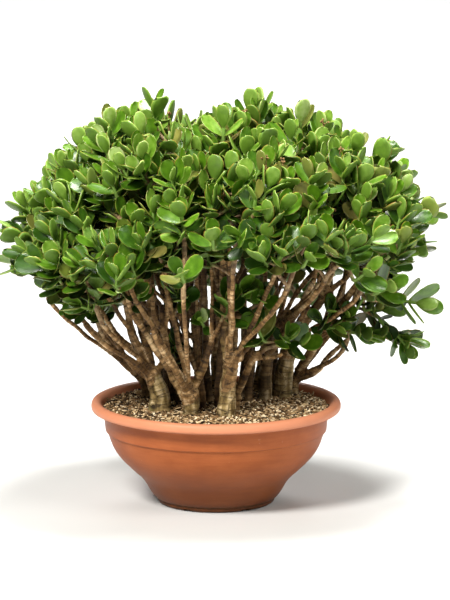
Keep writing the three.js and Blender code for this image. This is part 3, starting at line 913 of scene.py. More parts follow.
PLANTS = (
    Plant("left", (-0.101, -0.05), 0.0165, (-0.114, -0.054, 0.252), (-0.27, -0.15, 0.5)),
    Plant(
        "left_back", (-0.126, 0.064), 0.0075, (-0.176, 0.06, 0.252), (-0.345, 0.01, 0.43),
        (((-0.348, -0.045, 0.44), (-1.0, -0.2, 0.05)),),
    ),
    Plant("stump", (-0.045, -0.092), 0.013, (-0.046, -0.094, 0.219), (-0.12, -0.255, 0.54)),
    Plant("slim_left", (-0.023, -0.05), 0.0055, (-0.04, -0.046, 0.33), (-0.11, -0.07, 0.69)),
    Plant(
        "slim_right", (0.002, -0.034), 0.0055, (0.012, -0.04, 0.35), (0.05, -0.13, 0.68),
        (((-0.11, -0.02, 0.716), (-0.1, 0.0, 1.0)),),
    ),
    Plant("centre", (0.018, -0.105), 0.015, (0.026, -0.104, 0.281), (0.095, -0.262, 0.54)),
    Plant(
        "leaning", (0.034, -0.066), 0.0077, (0.071, -0.084, 0.29), None,
        (((0.076, -0.1, 0.33), (-0.3, -0.6, 0.8)), ((0.15, -0.076, 0.304), (0.6, -0.7, 0.3))),
    ),
    Plant("right_mid", (0.088, 0.04), 0.011, (0.096, 0.02, 0.3), (0.265, -0.15, 0.6)),
    Plant("right", (0.118, 0.068), 0.0156, (0.131, 0.06, 0.275), (0.355, -0.06, 0.44)),
    Plant(
        "right_back", (0.139, 0.102), 0.01, (0.15, 0.106, 0.214), (0.3, 0.175, 0.5),
        (
            ((0.246, 0.03, 0.306), (0.9, -0.5, 0.15)), ((0.345, 0.02, 0.292), (0.9, -0.3, 0.1)),
            ((0.378, -0.02, 0.53), (1.0, -0.1, 0.25)),
        ),
    ),
    Plant("back_left", (-0.072, 0.104), 0.012, (-0.088, 0.122, 0.262), (-0.235, 0.205, 0.5)),
    Plant("back", (0.004, 0.15), 0.013, (0.002, 0.168, 0.25), (-0.02, 0.3, 0.46)),
    Plant("back_right", (0.078, 0.142), 0.01, (0.092, 0.16, 0.27), (0.17, 0.27, 0.54)),
    Plant("inner_left", (-0.062, 0.022), 0.011, (-0.074, 0.026, 0.32), (-0.215, 0.07, 0.64)),
    Plant("inner_back", (0.014, 0.066), 0.011, (0.02, 0.072, 0.33), (0.06, 0.13, 0.7)),
)


@dataclass(frozen=True)
class Stem:
    """A further stem of a plant, drawn through a few points and thinning as it goes."""

    radii: Pair
    points: tuple[Point, ...]


STEMS = {
    "stump": (
        Stem((0.016, 0.0236), ((-0.043, -0.093, 0.186), (-0.049, -0.094, 0.218))),
        Stem((0.0105, 0.007), ((-0.05, -0.094, 0.21), (-0.077, -0.098, 0.247), (-0.084, -0.104, 0.276),
             (-0.092, -0.112, 0.335))),
        Stem((0.0055, 0.0045), ((-0.091, -0.111, 0.328), (-0.107, -0.116, 0.359), (-0.114, -0.122, 0.396),
             (-0.122, -0.132, 0.45))),
        Stem((0.0055, 0.0045), ((-0.091, -0.111, 0.328), (-0.088, -0.114, 0.355), (-0.086, -0.12, 0.396),
             (-0.088, -0.132, 0.45))),
        Stem((0.008, 0.0048), ((-0.082, -0.102, 0.262), (-0.117, -0.11, 0.314), (-0.147, -0.118, 0.361),
             (-0.158, -0.128, 0.406), (-0.172, -0.14, 0.45))),
        Stem((0.0095, 0.0068), ((-0.048, -0.094, 0.214), (-0.028, -0.098, 0.247), (-0.011, -0.104, 0.301),
             (-0.007, -0.108, 0.325))),
        Stem((0.005, 0.0042), ((-0.008, -0.108, 0.318), (-0.007, -0.112, 0.348), (-0.006, -0.118, 0.386),
             (-0.008, -0.13, 0.45))),
        Stem((0.005, 0.004), ((-0.008, -0.108, 0.318), (0.005, -0.116, 0.34), (0.017, -0.13, 0.38))),
    ),
    "left": (
        Stem((0.0255, 0.0165), ((-0.1, -0.052, 0.172), (-0.101, -0.052, 0.204), (-0.114, -0.054, 0.25))),
        Stem((0.011, 0.0062), ((-0.114, -0.054, 0.246), (-0.139, -0.058, 0.293), (-0.149, -0.064, 0.325),
             (-0.157, -0.07, 0.355), (-0.172, -0.086, 0.44))),
        Stem((0.007, 0.0045), ((-0.112, -0.052, 0.24), (-0.145, -0.05, 0.283), (-0.169, -0.054, 0.309),
             (-0.193, -0.06, 0.34), (-0.236, -0.08, 0.41))),
        Stem((0.007, 0.0045), ((-0.11, -0.046, 0.226), (-0.149, -0.042, 0.257), (-0.176, -0.042, 0.296),
             (-0.198, -0.044, 0.342), (-0.232, -0.05, 0.41))),
        Stem((0.0085, 0.0055), ((-0.114, -0.05, 0.246), (-0.122, -0.036, 0.31), (-0.118, -0.03, 0.37),
             (-0.13, -0.03, 0.47))),
        Stem((0.008, 0.0055), ((-0.12, -0.05, 0.262), (-0.128, -0.042, 0.3), (-0.142, -0.04, 0.345),
             (-0.15, -0.044, 0.42))),
    ),
    "centre": (
        Stem((0.019, 0.016), ((0.018, -0.105, 0.172), (0.021, -0.105, 0.22), (0.027, -0.104, 0.276))),
        Stem((0.013, 0.0065), ((0.026, -0.104, 0.268), (0.019, -0.106, 0.3), (0.018, -0.108, 0.343),
             (0.014, -0.112, 0.4), (0.012, -0.13, 0.48))),
        Stem((0.007, 0.0045), ((0.028, -0.104, 0.274), (0.043, -0.105, 0.286), (0.066, -0.105, 0.312))),
        Stem((0.0072, 0.0068), ((0.03, -0.1, 0.276), (0.034, -0.092, 0.328), (0.037, -0.09, 0.356))),
    ),
    "right": (
        Stem((0.024, 0.018), ((0.118, 0.068, 0.172), (0.122, 0.066, 0.22), (0.131, 0.06, 0.264))),
        Stem((0.012, 0.007), ((0.13, 0.062, 0.258), (0.15, 0.045, 0.305), (0.183, 0.02, 0.357), (0.213, 0.01, 0.435),
             (0.226, 0.0, 0.48))),
        Stem((0.0065, 0.0048), ((0.19, 0.018, 0.366), (0.211, 0.01, 0.388), (0.245, -0.004, 0.424),
             (0.268, -0.02, 0.46))),
    ),
    "right_mid": (
        Stem((0.0158, 0.013), ((0.088, 0.04, 0.172), (0.09, 0.036, 0.22), (0.095, 0.024, 0.276))),
        Stem((0.009, 0.0048), ((0.094, 0.028, 0.262), (0.121, -0.024, 0.314), (0.153, -0.032, 0.366),
             (0.173, -0.036, 0.408), (0.184, -0.05, 0.45))),
    ),
    "slim_left": (
        Stem((0.0078, 0.006), ((-0.034, -0.036, 0.15), (-0.034, -0.038, 0.25), (-0.042, -0.04, 0.38))),
        Stem((0.0065, 0.0046), ((-0.035, -0.05, 0.25), (-0.057, -0.054, 0.313), (-0.064, -0.056, 0.346),
             (-0.06, -0.058, 0.371), (-0.045, -0.062, 0.399), (-0.04, -0.08, 0.45))),
    ),
    "slim_right": (
        Stem((0.0078, 0.006), ((0.01, -0.024, 0.15), (0.012, -0.028, 0.26), (0.02, -0.03, 0.4))),
        Stem((0.0095, 0.006), ((-0.01, 0.01, 0.15), (-0.016, 0.02, 0.25), (-0.02, 0.02, 0.33), (-0.022, 0.02, 0.45))),
    ),
    "inner_back": (
        Stem((0.0096, 0.007), ((0.058, 0.016, 0.15), (0.062, 0.014, 0.25), (0.074, 0.0, 0.39))),
        Stem((0.012, 0.0065), ((0.045, 0.062, 0.15), (0.052, 0.06, 0.262), (0.048, 0.06, 0.354),
             (0.052, 0.07, 0.45))),
        Stem((0.01, 0.006), ((0.02, 0.07, 0.15), (0.01, 0.062, 0.262), (0.022, 0.06, 0.354), (0.03, 0.07, 0.45))),
    ),
    "inner_left": (
        Stem((0.009, 0.0065), ((-0.085, 0.0, 0.15), (-0.092, 0.006, 0.24), (-0.098, 0.0, 0.36))),
        Stem((0.011, 0.006), ((-0.07, 0.03, 0.15), (-0.095, 0.035, 0.25), (-0.104, 0.04, 0.31), (-0.12, 0.05, 0.42))),
        Stem((0.009, 0.006), ((-0.052, 0.016, 0.15), (-0.056, 0.02, 0.26), (-0.05, 0.02, 0.35), (-0.06, 0.03, 0.45))),
    ),
    "left_back": (
        Stem((0.0055, 0.0042), ((-0.17, 0.06, 0.244), (-0.203, 0.056, 0.297), (-0.217, 0.05, 0.33),
             (-0.24, 0.042, 0.4))),
    ),
    "right_back": (
        Stem((0.011, 0.007), ((0.15, 0.106, 0.216), (0.19, 0.07, 0.29), (0.225, 0.03, 0.352), (0.251, 0.01, 0.391),
             (0.284, -0.01, 0.446))),
        Stem((0.0075, 0.0048), ((0.147, 0.103, 0.201), (0.183, 0.098, 0.219), (0.201, 0.096, 0.241),
             (0.237, 0.08, 0.28))),
    ),
    "back_right": (
        Stem((0.012, 0.0065), ((0.094, 0.108, 0.15), (0.106, 0.1, 0.24), (0.104, 0.1, 0.32), (0.112, 0.11, 0.45))),
    ),
    "back": (
        Stem((0.012, 0.0065), ((-0.02, 0.13, 0.15), (-0.03, 0.13, 0.25), (-0.026, 0.13, 0.34), (-0.036, 0.14, 0.45))),
    ),
}


@dataclass(frozen=True)
class Sprig:
    """A shoot's tip of its own place: the way it points, the size of its leaves and how much lighter they are."""

    at: Point
    way: Point
    size: float = 1.0
    tint: float = 0.0


# Sprigs that stand out of the crown's outline, and those below it.
SPRIGS = (
    Sprig((-0.187, -0.03, 0.682), (-0.2, 0, 1)), Sprig((-0.236, 0.01, 0.64), (-0.2, 0.1, 1)),
    Sprig((-0.27, -0.02, 0.612), (-0.3, -0.1, 1), 0.9), Sprig((-0.34, 0, 0.536), (-0.6, -0.1, 1), 0.9),
    Sprig((-0.35, -0.03, 0.492), (-1, -0.1, 0.5)), Sprig((0.01, -0.01, 0.692), (0.15, 0, 1), 0.85),
    Sprig((0.074, -0.02, 0.702), (0, -0.1, 1), 0.95), Sprig((0.151, 0, 0.69), (0.1, 0, 1)),
    Sprig((0.187, -0.01, 0.672), (0.3, 0, 1)), Sprig((0.29, -0.02, 0.63), (0.7, -0.1, 0.8), 1.1),
    Sprig((0.318, 0, 0.586), (0.8, 0, 0.6)), Sprig((0.35, 0, 0.466), (1, -0.1, 0.1)),
    Sprig((0.358, -0.03, 0.368), (1, -0.3, -0.1), 1.12, 0.1), Sprig((-0.284, -0.06, 0.404), (-1, -0.4, 0.3), 0.9),
    Sprig((-0.211, -0.07, 0.36), (-0.3, -0.8, 0.5), 0.75), Sprig((-0.242, -0.06, 0.366), (-0.8, -0.6, 0.3), 0.75),
    Sprig((-0.262, -0.05, 0.384), (-0.6, -0.7, 0.6), 0.8), Sprig((-0.2, -0.066, 0.384), (-0.2, -0.8, 0.6), 0.8),
    Sprig((-0.137, -0.132, 0.405), (0.1, -0.6, 0.7), 0.8),
    Sprig((-0.027, -0.112, 0.352), (-0.2, -0.7, 0.5), 0.62, 0.1),
    Sprig((-0.068, -0.03, 0.296), (0.2, -0.6, 0.6), 0.6), Sprig((-0.07, 0.02, 0.262), (0, -0.7, 0.5), 0.9, -0.2),
    Sprig((0.02, -0.134, 0.392), (0.1, -0.4, 0.9), 1.05), Sprig((0.083, -0.112, 0.39), (0, -0.9, 0.35)),
    Sprig((0.128, -0.096, 0.322), (0.3, -0.7, 0.6), 0.8, 0.1), Sprig((0.186, -0.02, 0.334), (-0.3, -0.7, 0.5), 0.66),
    Sprig((0.206, 0, 0.352), (0.1, -0.7, 0.7), 0.66), Sprig((0.234, 0.01, 0.338), (0.3, -0.7, 0.5), 0.66),
    Sprig((0.214, 0.006, 0.316), (0.8, -0.5, 0.1), 0.72), Sprig((0.272, 0, 0.306), (1, -0.4, 0), 0.85),
    Sprig((0.292, 0.01, 0.354), (0.9, -0.2, 0.4), 0.45), Sprig((0.262, 0.01, 0.366), (0.4, -0.3, 0.8), 0.45),
    Sprig((0.304, -0.01, 0.318), (0.4, -0.6, -0.5), 0.6, -0.2), Sprig((0.34, -0.01, 0.288), (0.6, -0.5, -0.7), 0.85),
    Sprig((0.05, -0.11, 0.4), (0.3, -0.7, 0.6)), Sprig((-0.07, -0.12, 0.402), (-0.2, -0.7, 0.6)),
)


@dataclass(frozen=True)
class Tip:
    """The tip of a shoot: its place and way, the key of its random draws, how far out it lies, and its leaves."""

    at: Vector
    axis: Vector
    key: int
    share: float = 1.0
    size: float = 1.0
    tint: float = 0.0


@dataclass(frozen=True)
class Station:
    """A point along a limb, with the limb's way and radius there."""

    at: Vector
    way: Vector
    radius: float


@dataclass(frozen=True)
class Course:
    """A limb's line: a smooth curve that leaves one way and arrives another, thinning as it goes."""

    start: Vector
    leaving: Vector
    end: Vector
    arriving: Vector
    radii: Pair

    @property
    def length(self) -> float:
        """The straight distance that the limb covers."""
        return (self.end - self.start).length

    def station(self, share: float) -> Station:
        """The point at a share of the way along.

        Args:
            share: The share, from 0 to 1.

        Returns:
            The station there.
        """
        hold = 0.36 * self.length
        a, b = self.start, self.start + self.leaving * hold
        c, d = self.end - self.arriving * hold, self.end
        t, s = share, 1 - share
        at = a * s**3 + b * (3 * s * s * t) + c * (3 * s * t * t) + d * t**3
        way = ((b - a) * (s * s) + (c - b) * (2 * s * t) + (d - c) * (t * t)).normalized()
        return Station(at, way, self.radii[0] + (self.radii[1] - self.radii[0]) * share)

    def stations(self, step: float) -> list[Station]:
        """Points all along the limb, about one step apart."""
        count = max(3, round(self.length / step))
        return [self.station(i / count) for i in range(count + 1)]


@dataclass
class Spray:
    """A group of shoots that leave the wood at one point, with all the tips that then bear leaves."""

    root: Vector
    way: Vector
    tips: list[Tip]
    shoots: list[list[Station]] = field(default_factory=list)
    rosettes: list[Tip] = field(default_factory=list)


@dataclass
class Grown:
    """What one plant has grown: its limbs, the trunk first, its sprays and its further stems."""

    plant: Plant
    limbs: list[Course] = field(default_factory=list)
    sprays: list[Spray] = field(default_factory=list)
    stems: list[list[Station]] = field(default_factory=list)


def through(stem: Stem, step: float) -> list[Station]:
    """Draws a smooth line through a stem's points.

    Args:
        stem: The stem.
        step: About how far apart the stations are.

    Returns:
        The stations.
    """
    spots = [Vector(point) for point in stem.points]
    spots = [2 * spots[0] - spots[1], *spots, 2 * spots[-1] - spots[-2]]
    line = []
    for a, b, c, d in zip(spots, spots[1:], spots[2:], spots[3:]):
        count = max(2, round((c - b).length / step))
        for i in range(count + (c is spots[-2])):
            t = i / count
            at = 0.5 * (2 * b + (c - a) * t + (2 * a - 5 * b + 4 * c - d) * t**2 + (3 * b - a - 3 * c + d) * t**3)
            way = (c - a) + 2 * (2 * a - 5 * b + 4 * c - d) * t + 3 * (3 * b - a - 3 * c + d) * t**2
            line.append((at, way.normalized()))
    thin = [stem.radii[0] + (stem.radii[1] - stem.radii[0]) * i / (len(line) - 1) for i in range(len(line))]
    return [Station(at, way, radius) for (at, way), radius in zip(line, thin)]


def by_axis(first: Vector, second: Vector) -> Vector:
    """Two vectors multiplied axis by axis."""
    return Vector((first.x * second.x, first.y * second.y, first.z * second.z))


def mean(points: Sequence[Vector]) -> Vector:
    """The middle of some points."""
    return sum(points, Vector((0, 0, 0))) / len(points)


@dataclass
class Layer:
    """A layer of growth inside the crown's dome: how many rosettes, how far out, and how much they rise."""

    count: int
    inner: float
    outer: float
    rise: float


@dataclass
class Crown:
    """The dome in which the shoot tips lie, and the growth that fills it."""

    centre: Vector = field(default_factory=lambda: Vector((0.015, 0.008, 0.43)))
    radii: Vector = field(default_factory=lambda: Vector((0.38, 0.345, 0.284)))
    lowest: float = math.radians(112)
    lifted: float = math.radians(26)
    tips: int = 80
    turn_spread: float = 0.25
    tip_rise: float = 0.55
    ragged: float = 0.13
    cleft: float = 0.3
    cleft_at: float = -0.11
    cleft_width: float = 0.07
    shoulder: float = 0.075
    shoulder_at: float = 0.3
    shoulder_width: float = 0.42
    lobe_grain: float = 3.4
    lobe_depth: float = 0.12
    hollow: float = -0.19
    bareness: float = 0.85
    sway: float = 0.22
    tries: int = 14
    view_rise: float = 0.218
    layers: tuple[Layer, ...] = (Layer(235, 0.9, 0.98, 1.0), Layer(175, 0.74, 0.88, 1.4), Layer(70, 0.6, 0.74, 1.7))
    skirt: Profile = (
        (-0.4, 0.45), (-0.33, 0.432), (-0.265, 0.396), (-0.215, 0.385), (-0.17, 0.4), (-0.13, 0.422),
        (-0.06, 0.448), (0.0, 0.445), (0.1, 0.432), (0.16, 0.442), (0.26, 0.455), (0.31, 0.445), (0.36, 0.425),
    )
    girdle: tuple[Point, ...] = (
        (0.3, -0.16, 0.29), (0.34, -0.2, 0.3), (0.37, -0.225, 0.3), (0.4, -0.245, 0.3),
        (0.43, -0.29, 0.3), (0.46, -0.33, 0.315), (0.5, -0.342, 0.34), (0.54, -0.33, 0.34),
        (0.6, -0.262, 0.3), (0.65, -0.212, 0.235), (0.7, -0.15, 0.15),
    )
    skyline: Profile = (
        (-0.371, 0.5), (-0.335, 0.542), (-0.3, 0.552), (-0.281, 0.606), (-0.245, 0.636), (-0.209, 0.668),
        (-0.16, 0.678), (-0.119, 0.714), (-0.083, 0.7), (-0.05, 0.69), (-0.034, 0.622), (-0.024, 0.622),
        (-0.008, 0.68), (0.025, 0.678), (0.079, 0.704), (0.133, 0.696), (0.187, 0.674), (0.223, 0.662),
        (0.259, 0.616), (0.313, 0.62), (0.349, 0.57), (0.367, 0.522), (0.403, 0.51),
    )
    seed: int = 5

    def swell(self, unit: Vector, short: float) -> float:
        """The share of the dome's radius that a tip reaches, less in the dip between the two humps on top."""
        across = (unit.x - self.cleft_at) / self.cleft_width
        return 1 - short - self.cleft * math.exp(-(across**2)) * max(0.0, unit.z - 0.3)

    def slope(self, unit: Vector) -> float:
        """How much lower the crown's right shoulder is than the dome."""
        across = (unit.x - self.shoulder_at) / self.shoulder_width
        return self.shoulder * max(0.0, unit.z) * math.exp(-(across**2))

    def lobe(self, unit: Vector) -> float:
        """How much a direction is on a lobe of the crown, above 0, or in a hollow between lobes, below 0."""
        return noise.noise(unit * self.lobe_grain + Vector((7.3, 1.9, 4.1)))

    def place(self, unit: Vector, share: float) -> Vector:
        """The point in a direction at a share of the dome's radius."""
        return by_axis(unit, self.radii) * share + self.centre

    def outwards(self, unit: Vector, rise: float) -> Vector:
        """The way that a shoot points: out of the dome, and up towards the light."""
        out = Vector((unit.x / self.radii.x, unit.y / self.radii.y, unit.z / self.radii.z)).normalized()
        return (out + UP * rise).normalized()

    def is_leafy(self, unit: Vector, turn: float) -> bool:
        """Whether the crown reaches down to this direction: less far at the front, above the bare trunks."""
        front = max(0.0, -math.sin(turn)) ** 2
        return math.acos(max(-1.0, min(1.0, unit.z))) <= self.lowest - self.lifted * front

    def is_within(self, at: Vector) -> bool:
        """Whether a tip lies between the crown's lower edge and its skyline, as they are seen from the front."""
        low, high = (np.interp(at.x, *zip(*line)) for line in (self.skirt, self.skyline))
        return low < at.z + self.view_rise * at.y < high

    def girdled(self, at: Vector) -> Vector:
        """A tip's place, drawn in to the crown's uneven sides where it is outside them."""
        heights, lefts, rights = zip(*self.girdle)
        left, right = np.interp(at.z, heights, lefts), np.interp(at.z, heights, rights)
        return Vector((min(max(at.x, left), right), at.y, at.z))

    @staticmethod
    def direction(rise: float, turn: float) -> Vector:
        """The unit vector of this height and this turn about the upright axis."""
        flat = math.sqrt(1 - rise * rise)
        return Vector((flat * math.cos(turn), flat * math.sin(turn), rise))

    def dome_tips(self) -> list[Tip]:
        """The tips that the solids have, spread evenly over the dome."""
        tips = []
        drop = 1 - math.cos(self.lowest)
        for i in range(self.tips):
            turn = i * math.pi * (3 - math.sqrt(5)) + self.turn_spread * (scatter(i, 3) - 0.5)
            unit = self.direction(1 - drop * (i + 0.5) / self.tips, turn)
            if self.is_leafy(unit, turn):
                reach = self.swell(unit, self.ragged * scatter(i, 5) ** 1.5)
                tips.append(Tip(self.girdled(self.place(unit, reach)), self.outwards(unit, self.tip_rise), i))
        return tips

    def sample(self, layer: Layer, draw: random.Random) -> tuple[Vector, Vector, float] | None:
        """Draws a place for a tip.

        Args:
            layer: The layer of growth that it is in.
            draw: The random draws.

        Returns:
            The place, its direction and its share of the dome's radius, or None where the crown is bare.
        """
        unit = self.direction(draw.uniform(math.cos(self.lowest), 1.0), draw.uniform(0, 2 * math.pi))
        lobe = self.lobe(unit)
        if lobe < self.hollow and draw.random() < self.bareness:
            return None
        short = 1 - draw.uniform(layer.inner, layer.outer)
        share = self.swell(unit, short) + self.lobe_depth * lobe - self.slope(unit)
        at = self.girdled(self.place(unit, share))
        return (at, unit, share) if self.is_within(at) else None

    def filling(self, taken: Sequence[Tip]) -> list[Tip]:
        """Tips between and behind the dome's own, each put where it has the most room of some tries.

        Args:
            taken: The tips that are there already.

        Returns:
            The new tips, the innermost first.
        """
        draw = random.Random(self.seed)
        spots = [tip.at for tip in taken]
        tips = []
        for layer in [layer for layer in self.layers for _ in range(layer.count)]:
            places = [place for place in (self.sample(layer, draw) for _ in range(self.tries)) if place]
            if places:
                at, unit, share = max(places, key=lambda place: min((place[0] - spot).length for spot in spots))
                sway = Vector([draw.gauss(0, self.sway) for _ in range(3)])
                axis = (self.outwards(unit, layer.rise) + sway).normalized()
                spots.append(at)
                tips.append(Tip(at, axis, FILL_KEY + len(tips), share))
        return sorted(tips, key=lambda tip: tip.share)


@dataclass
class Skeleton:
    """How the plants branch: the same lines as the solids', and the finer shoots between them."""

    crown: Crown = field(default_factory=Crown)
    soil_top: float = 0.182
    spray_reach: float = 0.092
    shoot_root: float = 0.0046
    shoot_side: float = 0.003
    shoot_neck: float = 0.0034
    shoot_tip: float = 0.003
    straight: float = 0.024
    gap: float = 0.0004
    tips_per_spray: int = 3
    twig: float = 0.0044
    thicker: float = 0.00125
    collar: float = 0.0006
    sag: float = 0.06
    nearest_hold: float = 0.018
    slim_shoot: float = 0.85
    sucker_count: int = 2
    sucker_tip: float = 0.0048

    def branch_radius(self, sprays: int) -> float:
        """The radius of a branch that carries this many sprays."""
        return self.twig + self.thicker * (sprays - 1)

    def spray_count(self, tips: Sequence[Tip]) -> int:
        """The number of sprays that some tips make up."""
        return math.ceil(len(tips) / self.tips_per_spray)

    def shares(self) -> dict[str, list[Tip]]:
        """The dome's tips, each given to the plant whose part of the crown is nearest."""
        shares: dict[str, list[Tip]] = {plant.name: [] for plant in PLANTS}
        for tip in self.crown.dome_tips():
            reaching = [plant for plant in PLANTS if plant.reach]
            nearest = min(reaching, key=lambda plant: (tip.at - Vector(plant.reach)).length)
            shares[nearest.name].append(tip)
        for p, plant in enumerate(PLANTS):
            for i, (place, way) in enumerate(plant.own):
                shares[plant.name].append(Tip(Vector(place), Vector(way).normalized(), OWN_KEY + 10 * p + i))
        return shares

    @staticmethod
    def halves(tips: Sequence[Tip], share: float) -> tuple[list[Tip], list[Tip]]:
        """Splits tips across the axis along which they are spread most.

        Args:
            tips: The tips.
            share: The share of them in the first part.

        Returns:
            The two parts.
        """
        spreads = [max(tip.at[k] for tip in tips) - min(tip.at[k] for tip in tips) for k in range(3)]
        longest = max(range(3), key=lambda k: spreads[k])
        ordered = sorted(tips, key=lambda tip: tip.at[longest])
        cut = math.floor(len(tips) * share + 0.5)
        return ordered[:cut], ordered[cut:]

    def grow(self, start: Vector, way: Vector, tips: list[Tip], radius: float, grown: Grown) -> None:
        """Grows wood from a point towards some tips, forking in two until each part is one spray.

        Args:
            start: Where the limb begins.
            way: The way it leaves.
            tips: The tips that it carries.
            radius: Its radius at its start.
            grown: The plant that the limbs and sprays are added to.
        """
        sprays = self.spray_count(tips)
        middle = mean([tip.at for tip in tips])
        far = (middle - start).length
        course = (middle - start).normalized()
        if sprays == 1:
            spread = max((tip.at - middle).length for tip in tips)
            along = max(far * 0.3, far - max(self.spray_reach, 1.1 * spread))
            root = start + course * along - UP * (self.sag * far)
            root_way = (course * 0.8 + UP * 0.35).normalized()
            grown.limbs.append(Course(start, way, root, root_way, (radius, self.shoot_root + self.collar)))
            grown.sprays.append(Spray(root, root_way, tips))
            return
        thick = self.branch_radius(sprays)
        if len(grown.limbs) > 1:
            further = start + course * (far * 0.34) - UP * (self.sag / 2 * far)
            further_way = (course + UP * 0.25).normalized()
            grown.limbs.append(Course(start, way, further, further_way, (radius, thick)))
            start, way = further, further_way
        inside = start - way * (0.9 * thick)
        for part in self.halves(tips, math.floor(sprays / 2) / sprays):
            aim = (mean([tip.at for tip in part]) - start).normalized()
            leave = (way * 0.45 + aim).normalized()
            next_radius = self.branch_radius(self.spray_count(part)) + self.collar
            self.grow(inside, leave, part, next_radius, grown)

    def shoot(self, start: Vector, way: Vector, tip: Tip, radius: float, slim: float = 1.0) -> list[Station]:
        """One shoot: a curve that ends in a straight length along the tip's own axis, where its leaves are."""
        neck = tip.at - tip.axis * self.straight
        line = Course(start, way, neck, tip.axis, (radius, self.shoot_neck * slim)).stations(0.006)
        return [*line, Station(tip.at, tip.axis, self.shoot_tip * slim)]

    def spray_shoots(self, spray: Spray) -> None:
        """Gives a spray its shoots: one from its root, and the others from that one's side, each to one tip.

        Args:
            spray: The spray.
        """
        root = spray.root + spray.way * self.gap
        main = max(spray.tips, key=lambda tip: (tip.at - root).normalized().dot(spray.way))
        neck = main.at - main.axis * self.straight
        half = Course(root, spray.way, neck, main.axis, (self.shoot_root, self.shoot_neck)).station(0.5)
        spray.shoots.append(self.shoot(root - spray.way * 0.004, spray.way, main, self.shoot_root))
        for tip in spray.tips:
            if tip is not main:
                leave = ((tip.at - half.at).normalized() + half.way).normalized()
                spray.shoots.append(self.shoot(half.at, leave, tip, self.shoot_side))
        spray.rosettes = list(spray.tips)

    def fill(self, plants: Sequence[Grown]) -> None:
        """Adds the shoots between the solids' own, each from the best placed shoot or branch that is there.

        Args:
            plants: The plants, whose sprays the new shoots are added to.
        """
        sprays = [spray for grown in plants for spray in grown.sprays]
        holds = [(station, spray) for spray in sprays for line in spray.shoots for station in line[1:-2:2]]
        for grown in plants:
            lines = [limb.stations(0.02)[1:] for limb in grown.limbs[1:]]
            for station in [s for line in [*lines, *(stem[::4] for stem in grown.stems)] for s in line]:
                nearest = min(grown.sprays, key=lambda spray: (spray.root - station.at).length)
                holds.append((station, nearest))
        taken = [tip for spray in sprays for tip in spray.tips]
        sprigs = [
            Tip(Vector(sprig.at), Vector(sprig.way).normalized(), SPRIG_KEY + i, 1.0, sprig.size, sprig.tint)
            for i, sprig in enumerate(SPRIGS)
        ]
        for tip in [*sprigs, *self.crown.filling([*taken, *sprigs])]:
            neck = tip.at - tip.axis * self.straight
            best, best_cost = None, 1e9
            for station, spray in holds:
                aim = neck - station.at
                far = aim.length
                if far < self.nearest_hold:
                    continue
                lean = aim.dot(station.way) / far
                cost = far * (1.9 - lean) + 0.03 * max(0.0, 0.25 - lean)
                if cost < best_cost:
                    best, best_cost = (station, spray, aim / far), cost
            station, spray, aim = best
            leave = (station.way * 0.7 + aim).normalized()
            line = self.shoot(station.at, leave, tip, min(station.radius * 0.9, self.shoot_neck), self.slim_shoot)
            spray.shoots.append(line)
            spray.rosettes.append(tip)
            holds += [(s, spray) for s in line[2:-2:2]]

    def suckers(self, grown: Grown, number: int) -> list[list[Station]]:
        """Further stems that leave the trunk low down and go up into the plant's part of the crown.

        Args:
            grown: The plant.
            number: Its number.

        Returns:
            The stations of each stem.
        """
        made = []
        trunk = grown.limbs[0]
        reach = mean([tip.at for spray in grown.sprays for tip in spray.tips]) + UP * 0.03
        count = self.sucker_count + 2 * grown.plant.name.startswith(("back", "inner"))
        for i in range(count):
            station = trunk.station(0.35 + 0.55 * scatter(number, i, 31))
            off = Vector([scatter(number, i, 32 + k) - 0.5 for k in range(3)]) * 0.16
            end = trunk.end.lerp(reach, 0.5 + 0.15 * scatter(number, i, 36)) + off
            aim = (end - station.at).normalized()
            leave = (station.way * 0.8 + aim).normalized()
            arrive = (aim + UP * 0.4).normalized()
            radius = min(0.7 * station.radius, 0.0062 + 0.003 * scatter(number, i, 37))
            made.append(Course(station.at, leave, end, arrive, (radius, self.sucker_tip)).stations(STEP))
        return made

    def build(self) -> list[Grown]:
        """The plants with all their limbs, sprays and shoots."""
        shares = self.shares()
        plants = []
        for plant in PLANTS:
            foot = Vector((*plant.foot, self.soil_top))
            fork = Vector(plant.fork)
            lean = (fork - foot).normalized()
            tips = shares[plant.name]
            limb_radius = min(plant.radius * 0.8, self.branch_radius(self.spray_count(tips)) + 0.003)
            top = max(limb_radius, plant.radius * 0.62)
            grown = Grown(plant, [Course(foot, UP, fork, lean, (plant.radius, top))])
            self.grow(fork - lean * (0.7 * limb_radius), lean, tips, limb_radius, grown)
            for spray in grown.sprays:
                self.spray_shoots(spray)
            grown.stems = [through(stem, STEP) for stem in STEMS.get(plant.name, ())]
            grown.stems += self.suckers(grown, len(plants))
            plants.append(grown)
        self.fill(plants)
        return plants


# ---- wood


